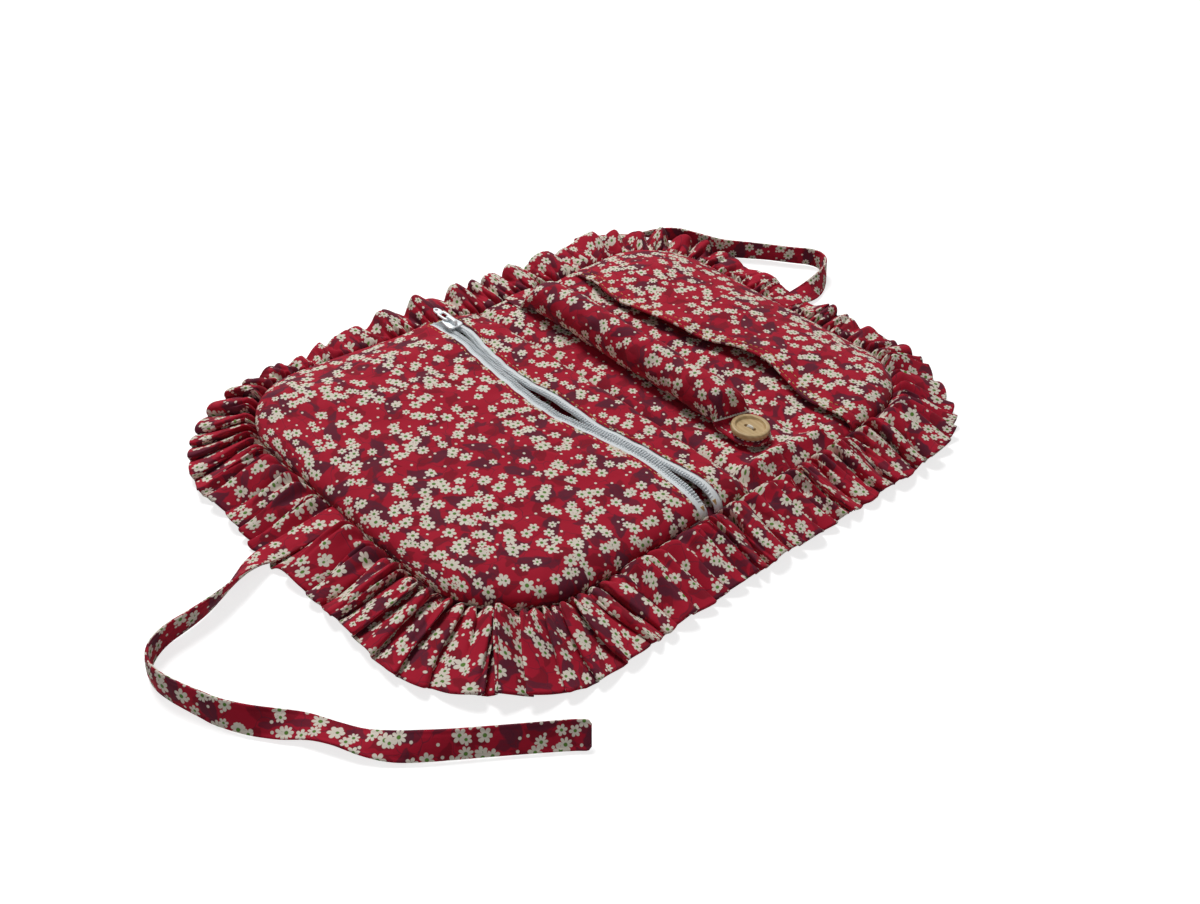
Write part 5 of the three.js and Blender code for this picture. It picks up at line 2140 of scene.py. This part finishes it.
@dataclass
class WoodButton:
    """A turned two-hole wooden button with a raised rim, and the thread that holds it."""

    roll: RingRoll
    radius: float = 10.0
    base_z: float = 12.5
    hole_radius: float = 1.05
    hole_depth: float = 2.0
    hole_pitch: float = 4.6
    strand_radius: float = 0.36
    turned: float = math.radians(97.0)
    profile: Sequence[tuple[float, float]] = (
        (0.0, 2.25), (4.0, 2.25), (6.5, 2.27), (7.1, 2.4), (7.4, 2.9), (7.65, 3.45), (8.05, 3.72), (8.6, 3.8),
        (9.3, 3.72), (9.75, 3.4), (10.0, 2.7),
    )
    underside: Sequence[tuple[float, float]] = (
        (10.0, 1.6), (9.8, 0.9), (9.2, 0.35), (8.3, 0.05), (4.0, 0.0), (0.0, 0.0),
    )

    @property
    def along(self) -> Array:
        """Unit direction from hole to hole."""
        return np.array([math.cos(self.turned), math.sin(self.turned)])

    @property
    def middle(self) -> Array:
        """Middle of the button's base."""
        return np.array([self.roll.middle_x, self.roll.button_y, self.base_z])

    def shell(self) -> Shell:
        """The button: a turned profile over a round grid, with two pits for holes and a rounded underside.

        Returns:
            A closed surface.
        """
        radii = np.concatenate([np.linspace(0, 4.4, 30), np.linspace(4.5, self.radius, 46)])[:, None]
        turn = np.linspace(0, TAU, 121)[None, :]
        x, y = radii * np.cos(turn), radii * np.sin(turn)
        z = through(self.profile, radii)
        for side in (-1, 1):
            hole = side * self.hole_pitch / 2 * self.along
            from_hole = np.hypot(x - hole[0], y - hole[1])
            z = z - self.hole_depth * (1 - smooth((from_hole - self.hole_radius + 0.25) / 0.4))
        rim, depth = np.array(self.underside).T[..., None]
        below = xyz(rim * np.cos(turn), rim * np.sin(turn), depth)
        points = np.concatenate([xyz(x, y, z), below])
        points[:, -1] = points[:, 0]
        return grid_shell(points + self.middle)

    def thread(self) -> Shell:
        """A bundle of strands across the dish from hole to hole.

        Returns:
            The strands.
        """
        lanes = np.array([-0.42, 0.0, 0.42, 0.18, -0.2])
        lift = np.array([1.85, 2.0, 1.85, 2.3, 2.28])
        across = np.array([-self.along[1], self.along[0]])
        flat = lanes[:, None] * across
        ends = [flat + side * (self.hole_pitch / 2 - 0.1) * self.along for side in (-1, 1)]
        first, last = (np.column_stack([end, lift]) + self.middle for end in ends)
        up = np.broadcast_to(UP, first.shape)
        return bars(first, last, up, self.strand_radius, 0.8, (0, 0.85, 1, 1, 1, 0.85, 0))

    def build(self, shop: Workshop) -> None:
        """Makes the button and its thread."""
        shop.add("wood_button", self.shell(), PaleWood(), Slot.WOOD, Body.ROLL, ["button"])
        shop.add("button_strands", self.thread(), WHITE_THREAD, Slot.WHITE, Body.ROLL, ["button_thread"])


@dataclass
class Ruffle:
    """The gathered ruffle: tight gathers at the seam that open into a few leaning folds at the outer edge."""

    plan: Plan
    reach: float = 30.5
    lean: float = 14.0
    corner_more: float = 5.0
    near: tuple[float, float] = (-math.sqrt(0.5), -math.sqrt(0.5))
    dip: float = 11.0
    dip_at: float = 112.0
    dip_width: float = 40.0
    seam_z: float = 3.7
    outer_z: float = 0.95
    far_z: float = 2.6
    flat_fold: float = 7.4
    tall_fold: float = 9.6
    fold_lean: float = 6.0
    pitch: float = 11.0
    tall_pitch: float = 20.0
    gather: float = 6.8
    gather_lean: float = 2.2
    gather_pitch: float = 5.0
    lap: float = 1.2
    tucked: float = 0.8
    puff: float = 3.2
    row_step: float = 0.48
    thickness: float = 0.8
    calm: float = 12.0
    tie_flat: float = 9.0
    fold_half: float = 9.0

    def uneven(self, wavelength: float, seed: int, s: Array, depth: Union[float, Array] = 0.0) -> Array:
        """Unevenness that closes on itself: a ripple read round a circle as long as the seam.

        Args:
            wavelength: Mean length of a wave.
            seed: Seed of the waves.
            s: Lengths along the seam.
            depth: Distance from it.

        Returns:
            The unevenness, about 1 high.
        """
        radius = self.plan.seam_half / math.pi
        turn = s / radius
        return Ripple(wavelength, seed)((radius + depth) * np.cos(turn), (radius + depth) * np.sin(turn))

    @staticmethod
    def ridges(run: Array, whole: float, pitch: float, offset: Array, soft: float = 0.0) -> Array:
        """Ridges with narrow valleys between them: a root of a cosine, in a whole number round the seam.

        Args:
            run: Length along the ridges' own line.
            whole: That line's whole length.
            pitch: Distance between ridges, before it is rounded to fit.
            offset: Moves the ridges, in radians.
            soft: Share of the cosine over which a valley's bottom is rounded.

        Returns:
            Heights from 0 to 1.
        """
        turns = math.pi * round(whole / pitch) / whole
        wave = np.hypot(np.cos(turns * run + offset), soft) - soft
        return (wave / (math.hypot(1.0, soft) - soft)) ** 0.6

    def liveliness(self, s: Array) -> Array:
        """Share of the full folds: less beside the pad's folds, and none under a tie.

        Args:
            s: Lengths along the seam.

        Returns:
            Shares from 0 to 1.
        """
        half = self.plan.seam_half
        creases = (self.plan.front_fold, self.plan.back_fold)
        folds = [half * k - (-1) ** k * x for k in (0, 1) for x in creases]
        from_fold = np.min([np.abs(s - f) for at in folds for f in (at, at + 2 * half)], axis=0)
        from_tie = np.min([np.abs(s - t) for t in (half / 2, 1.5 * half)], axis=0)
        return (1 - 0.18 * bell(from_fold, self.calm)) * smooth((from_tie - 6.0) / self.tie_flat)

    def folds(self, s: Array, u: Array, normal: Array) -> tuple[Array, Array]:
        """Crests of the folds: ridges of the length half way out, so that corners have as many.

        Args:
            s: Lengths along the seam.
            u: Shares of the way out.
            normal: Outward normal at each length.

        Returns:
            Crests of the low folds and of the tall ones, from 0 to 1.
        """
        heading = np.arctan2(normal[:, 1], normal[:, 0]) - math.pi / 2
        turned = np.unwrap(np.mod(heading + 1e-6, TAU))[:, None]
        half_way = s + 0.5 * self.reach * turned
        whole = 2 * self.plan.seam_half + 0.5 * self.reach * TAU
        wander = 1.2 * self.uneven(80.0, 41, s) + 0.5 * self.uneven(27.0, 42, s)
        crooked = wander + 0.5 * self.uneven(60.0, 52, s, 40 * u)
        creased = self.ridges(half_way, whole, self.pitch, crooked)
        waved = self.ridges(half_way, whole, self.tall_pitch, wander, 0.35)
        return creased, waved

    def gathers(self, s: Array, u: Array, lively: Array) -> tuple[Array, Array, Array]:
        """Gathers that fade outwards from the seam, with round ridges and sharp valleys.

        Args:
            s: Lengths along the seam.
            u: Shares of the way out.
            lively: Share of the full folds at each length.

        Returns:
            Their crests from 0 to 1, how they fade outwards, and how strong they are along the seam.
        """
        fine = 0.95 * self.uneven(38.0, 44, s) + 0.35 * self.uneven(40.0, 47, s, 30 * u)
        ridge = self.ridges(s, 2 * self.plan.seam_half, self.gather_pitch, fine)
        fade = 0.46 + 0.2 * self.uneven(11.0, 48, s)
        tight = (1 - np.exp(-u / 0.03)) * bell(u, np.maximum(fade, 0.16))
        rough = np.clip(1 + 0.3 * self.uneven(13.0, 49, s), 0.4, 1.5) * (0.35 + 0.65 * lively)
        return ridge, tight, rough

    def grid(self, start: float, end: float) -> tuple[Array, Array]:
        """Top of a stretch of ruffle and its cloth coordinates.

        The height falls from the seam to the table, with gathers at the seam and folds further out. The
        folds on the near side lie low and are highest half way out. Those on the far side are tall and
        highest at the outer edge. Crests are moved along the seam, so that they lean over the next trough.

        Args:
            start: Length along the seam where it starts.
            end: Length where it ends.

        Returns:
            Grid of points, and the cloth coordinate of each.
        """
        s = np.linspace(start - self.lap, end + self.lap, int((end - start) / self.row_step))[:, None]
        u = np.linspace(0, 1, 33)[None, :] ** 1.1
        half_out = 19
        lively = self.liveliness(s)
        _, normal = self.plan.seam(s[:, 0])
        toward = (normal @ np.array(self.near))[:, None]
        dip = bell(s - self.dip_at, self.dip_width)
        corner = self.corner_more * smooth((toward - 0.75) / 0.25)
        reach = self.reach + self.lean * toward + corner - self.dip * dip
        size = np.clip(1.08 + 0.36 * self.uneven(30.0, 43, s), 0.82, 1.6) * lively

        creased, waved = self.folds(s, u, normal)
        flat = smooth(u / 0.25) * (1 - 0.35 * smooth((u - 0.4) / 0.6))
        tall = smooth((u - 0.04) / 0.9) ** 0.8
        lying = smooth(0.85 + 0.8 * toward)
        height = self.tall_fold * (0.5 + 0.5 * np.clip(normal[:, 1:], 0, 1)) * (1 - 0.4 * dip)
        low, high = self.flat_fold * size * flat * lying, height * size * tall * (1 - lying)
        ridge, tight, rough = self.gathers(s, u, lively)

        puff = self.puff * (1 - np.exp(-((u / 0.08) ** 1.7))) * np.exp(-u / 0.4)
        z = self.seam_z + (self.outer_z + self.far_z * (1 - lying) - self.seam_z) * smooth(u**0.9) + puff
        z = z + low * creased + high * waved + self.gather * rough * tight * (ridge - 0.72)
        z = z + 0.4 * tall * self.uneven(24.0, 45, s, 34 * u) * lively
        past = np.maximum(np.maximum(start - s, s - end), 0) / self.lap
        z = np.maximum(z - 0.5 * past, self.outer_z)

        sense = np.clip(4.0 * self.uneven(90.0, 46, s), -1.0, 1.0)
        shift = self.fold_lean * size * flat * lying * (creased - 0.5) * sense
        shift = shift + 0.3 * high * (waved - 0.5) * sense
        shift = shift + self.gather_lean * rough * tight * (ridge - 0.5) * sense
        at, normal = (a.reshape(*shift.shape, 2) for a in self.plan.seam((s + shift).ravel()))
        stepped = 0.085 * (creased - 0.7) * lying - 0.03 * waved * (1 - lying)
        edge = 1 + stepped + 0.022 * self.uneven(42.0, 50, s)
        out = (reach + self.tucked) * u * (1 + (edge - 1) * tall) - self.tucked
        points = self.plan.drawn_in(np.concatenate([at + normal * out[..., None], z[..., None]], -1))
        middle = run_lengths(points, 0)[:, [half_out]]
        return points, np.stack(np.broadcast_arrays(middle, reach * u), -1)

    def build(self, shop: Workshop) -> None:
        """Makes the ruffle of each half, which meet at the middle of the spine.

        Args:
            shop: Makes and places the pieces.
        """
        half, middle = self.plan.seam_half, self.plan.spine_middle
        folds = (self.plan.front_fold, self.plan.back_fold)
        stretches = (
            (Half.FRONT, Body.FRONT, -middle, half + middle, folds[0], "ruffle_spine_far"),
            (Half.BACK, Body.BACK, half + middle, 2 * half - middle, folds[1], "ruffle_spine_near"),
        )
        for side, body, start, end, fold, spine_node in stretches:
            points, cloth = self.grid(start, end)
            node = f"ruffle_{side.name.lower()}"
            name, covered = f"{node}_gathered", [node, spine_node]
            shell = sheet_shell(points, self.thickness, cloth)
            piece = shop.add(name, shell, PRINT, Slot.PRINT, stands_for=covered)
            away = side.value * self.fold_half
            shop.bend(piece, body, Body.SPINE, (fold + away, 0, 0), (fold - away, 0, 0))


@dataclass
class Tie:
    """A flat fabric tie: a folded strip along a route of x, y, z and tilt from flat in degrees.

    The route's x is measured from the end of the pad that the tie is sewn to.
    """

    plan: Plan
    half: Half
    route: Route
    length: float
    width: float = 12.0
    thickness: float = 1.7
    lowest_z: float = 0.15
    stitch_inset: float = 1.7
    cup: float = 0.5

    def centre(self) -> tuple[Array, Array]:
        """The middle line and the tilt along it: a centripetal cubic through the route, 6 steps to a span.

        Returns:
            Points of the line, and the tilt at each in radians.
        """
        knots = np.array(self.route, float)
        knots[:, 0] += self.half.value * self.plan.half_length
        spots = knots[:, :3]
        before, after = 2 * spots[0] - spots[1], 2 * spots[-1] - spots[-2]
        p = np.concatenate([[before], spots, [after]])
        gaps = np.sqrt(np.linalg.norm(np.diff(p, axis=0), axis=1))[:, None]
        t = np.linspace(0, 1, 7)[None, :-1, None]
        d0, d1, d2 = (gaps[k:len(gaps) - 2 + k, None] for k in range(3))
        p0, p1, p2, p3 = (p[k:len(p) - 3 + k, None] for k in range(4))
        m1 = (p1 - p0) / d0 - (p2 - p0) / (d0 + d1) + (p2 - p1) / d1
        m2 = (p2 - p1) / d1 - (p3 - p1) / (d1 + d2) + (p3 - p2) / d2
        m1, m2 = m1 * d1, m2 * d1
        line = (2 * t**3 - 3 * t**2 + 1) * p1 + (t**3 - 2 * t**2 + t) * m1
        line = line + (3 * t**2 - 2 * t**3) * p2 + (t**3 - t**2) * m2
        line = np.concatenate([line.reshape(-1, 3), spots[-1:]])
        steps = np.linspace(0, len(knots) - 1, len(line))
        tilt = np.interp(steps, np.arange(len(knots)), knots[:, 3])
        return line, np.radians(np.convolve(np.pad(tilt, 4, mode="edge"), np.full(9, 1 / 9), "valid"))

    def strip(self, line: Array, tilt: Array, run: Array) -> Shell:
        """The strip: a flat rounded section along the line, grooved inside its edges and a little cupped.

        Args:
            line: Its middle line.
            tilt: Turn of the strip from flat at each point.
            run: Length along the line at each point.

        Returns:
            A closed surface.
        """
        ahead = np.gradient(line, axis=0)
        ahead[:, 2] = 0
        ahead /= np.linalg.norm(ahead, axis=1, keepdims=True)
        up = np.broadcast_to(UP, ahead.shape)
        side = np.cross(up, ahead)
        c, s = np.cos(tilt)[:, None], np.sin(tilt)[:, None]
        half = self.width / 2
        outline = rounded_outline(half, self.thickness / 2, 0.42, 40)
        groove = 1 - 0.3 * bell(np.abs(outline[:, 0]) - half + self.stitch_inset, 0.6)
        soft = 1 + 0.05 * Ripple(23.0, 51)(run, 0 * run)
        soft = (soft * (0.72 + 0.28 * shoulder(run[-1] - run, 2.4)))[:, None]
        cup = self.cup * np.sin(run / 17.0)[:, None] * (1 - (outline[:, 0] / half) ** 2)
        section = np.stack([outline[:, 0] * soft, outline[:, 1] * groove * (2 - soft) + cup], -1)
        rings = sweep(line, side * c + up * s, up * c - side * s, section)
        rings[..., 2] = np.maximum(rings[..., 2], self.lowest_z)
        cloth = np.stack(np.broadcast_arrays(run[:, None], walked(outline)[None, :]), -1)
        return grid_shell(capped(rings), np.concatenate([cloth[:1], cloth, cloth[-1:]]))

    def build(self, shop: Workshop) -> None:
        """Args:
            shop: Makes and places the pieces.
        """
        line, tilt = self.centre()
        run = walked(line)
        name = f"tie_{self.half.name.lower()}"
        body = Body.FRONT if self.half is Half.FRONT else Body.BACK
        piece = shop.add(f"{name}_strip", self.strip(line, tilt, run), PRINT, Slot.PRINT, body, [name])
        path = self.plan.to_part(line)
        LOG.info("%s is %.3f m long", name, run[-1] * MM)


FRONT_ROUTE: Route = (
    (-0.5, 0, 6, 0), (-11, 0, 5.1, 0), (-22, -0.8, 4.3, 0), (-31, -1, 3.6, 2), (-39, -1, 3.2, 3),
    (-46, -2, 3.6, 18), (-53, -5, 4.6, 36), (-63, -10, 5.8, 56), (-73, -14.5, 6.4, 70),
    (-82, -17.2, 6.6, 77), (-90, -18.8, 6.6, 81), (-97, -20, 6.6, 84), (-103.5, -22.5, 6.6, 87),
    (-109, -26.5, 6.6, 90), (-112.5, -32, 6.6, 90), (-113.5, -39.5, 6.6, 89), (-112, -47.5, 6.6, 86),
    (-109.5, -55, 6.5, 82), (-107, -61.5, 6.4, 77), (-104.5, -68, 6.3, 72), (-98, -78.5, 6, 62),
    (-90, -86.5, 4.6, 36), (-81.5, -94, 3.4, 4), (-75, -104, 3.4, -14), (-69, -115, 3.6, 0),
    (-62, -124.5, 4.4, 28), (-54, -132.3, 5.6, 50), (-45, -139, 5.8, 54), (-35.5, -145.5, 5.8, 54),
    (-26, -152, 5.8, 54), (-16.5, -158.5, 5.8, 52), (-7, -165, 5.6, 50), (-2, -169, 5.4, 48),
)
BACK_ROUTE: Route = (
    (0.5, 0, 6, 0), (7, 0, 5, 0), (14, 0, 4.2, 0), (22, 0, 3.8, 10), (30, -0.5, 4.7, 30),
    (38, 0.5, 5.7, 52), (46, 3, 6.4, 70), (53.5, 7, 6.6, 82), (59.5, 12.5, 6.6, 89), (62.3, 19, 6.6, 90),
    (60.3, 25.5, 6.6, 88), (55, 31.5, 6.6, 84), (49.5, 38, 6.6, 82), (44, 45, 6.6, 80),
    (37, 52.5, 6.6, 82), (29.5, 60.5, 6.6, 84), (23, 69, 6.6, 84), (18.5, 81.5, 6.6, 82),
    (12.9, 96.5, 6.5, 75), (3, 109.1, 5, 48), (-9.2, 119.4, 2.8, 18), (-23.3, 126.9, 1.3, 2),
    (-38.4, 133.3, 1.1, 0),
)


# The studio


class Lamp(NamedTuple):
    """A square lamp that faces the pouch: its place and size in metres, and its power."""

    name: str
    place: tuple[float, float, float]
    size: float
    watts: float

    def build(self) -> None:
        """Adds the lamp."""
        data = bpy.data.lights.new(self.name, "AREA")
        data.size = self.size
        data.energy = self.watts
        made = put(self.name, data)
        made.location = Vector(self.place)
        made.rotation_mode = "QUATERNION"
        made.rotation_quaternion = (-Vector(self.place)).to_track_quat("-Z", "Y")


@dataclass
class Studio:
    """A white floor, a white surround, soft lamps, and the camera at the photograph's viewing angle."""

    effects: Effects
    azimuth: float = -46.272
    elevation: float = 36.815
    roll: float = 4.719
    distance: float = 0.66074
    lens: float = 39.573
    target: tuple[float, float, float] = (-0.01427, -0.02551, 0.0)
    floor_half: float = 6.0
    surround: float = 0.105
    lamps: Sequence[Lamp] = (
        Lamp("key_lamp", (0.25, 1.2, 1.95), 0.9, 42.0),
        Lamp("fill_lamp", (-1.1, -1.3, 0.6), 1.2, 3.4),
    )

    def camera(self) -> None:
        """Places the camera: it looks along its azimuth and elevation, turned by its roll."""
        a, e, r = (math.radians(v) for v in (self.azimuth, self.elevation, self.roll))
        back = np.array([math.sin(a) * math.cos(e), -math.cos(a) * math.cos(e), math.sin(e)])
        right = np.array([math.cos(a), math.sin(a), 0.0])
        up = np.cross(back, right)
        matrix = np.eye(4)
        matrix[:3, 0] = math.cos(r) * right + math.sin(r) * up
        matrix[:3, 1] = math.cos(r) * up - math.sin(r) * right
        matrix[:3, 2] = back
        matrix[:3, 3] = np.array(self.target) + back * self.distance
        data = bpy.data.cameras.new("photo_camera")
        data.sensor_fit = "HORIZONTAL"
        data.sensor_width = 36.0
        data.lens = self.lens
        data.clip_start, data.clip_end = 0.01, 50.0
        made = put("photo_camera", data)
        made.matrix_world = Matrix(matrix.tolist())
        bpy.context.scene.camera = made

    def floor(self) -> None:
        """Lays the floor, a wide square."""
        mesh = bpy.data.meshes.new("floor")
        h = self.floor_half
        mesh.from_pydata([(-h, -h, 0), (h, -h, 0), (h, h, 0), (-h, h, 0)], [], [(0, 1, 2, 3)])
        mesh.materials.append(WhiteFloor().material(self.effects))
        put("floor", mesh)

    def world(self) -> None:
        """A white surround that lights softly and shows white to the camera."""
        world = bpy.data.worlds.new("white_surround")
        world.use_nodes = True
        bpy.context.scene.world = world
        graph = Graph(world.node_tree)
        background = world.node_tree.nodes["Background"]
        strength = graph.math("MULTIPLY_ADD", graph.seen(), 1.0 - self.surround, self.surround)
        graph.feed(background.inputs["Color"], WHITE)
        graph.feed(background.inputs["Strength"], strength)

    def build(self) -> None:
        """Sets up the camera, the floor and the light."""
        bpy.context.scene.view_settings.view_transform = "Standard"
        self.camera()
        self.floor()
        self.world()
        for lamp in self.lamps:
            lamp.build()


def main() -> None:
    """Builds the studio and then the pouch, piece by piece."""
    logging.basicConfig(level=logging.INFO, format="%(name)s: %(message)s")
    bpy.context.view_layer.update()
    effects = Effects()
    Studio(effects).build()
    plan = Plan.of_frame()
    shop = Workshop(plan, effects)
    Tie(plan, Half.FRONT, FRONT_ROUTE, 0.305).build(shop)
    Tie(plan, Half.BACK, BACK_ROUTE, 0.229).build(shop)
    Pad(plan).build(shop)
    line = ZipLine(plan)
    pocket = ZipPocket(plan, line, PocketCloth(plan, firm_at=line.middle_x))
    pocket.build(shop)
    ZipFastener(pocket).build(shop)
    ZipSlider(plan).build(shop)
    SlipPocket(plan, PocketCloth(plan, edge_radius=12.0, seed=61)).build(shop)
    roll = RingRoll(plan)
    roll.build(shop)
    WoodButton(roll).build(shop)
    Ruffle(plan).build(shop)


if __name__ == "__main__":
    main()
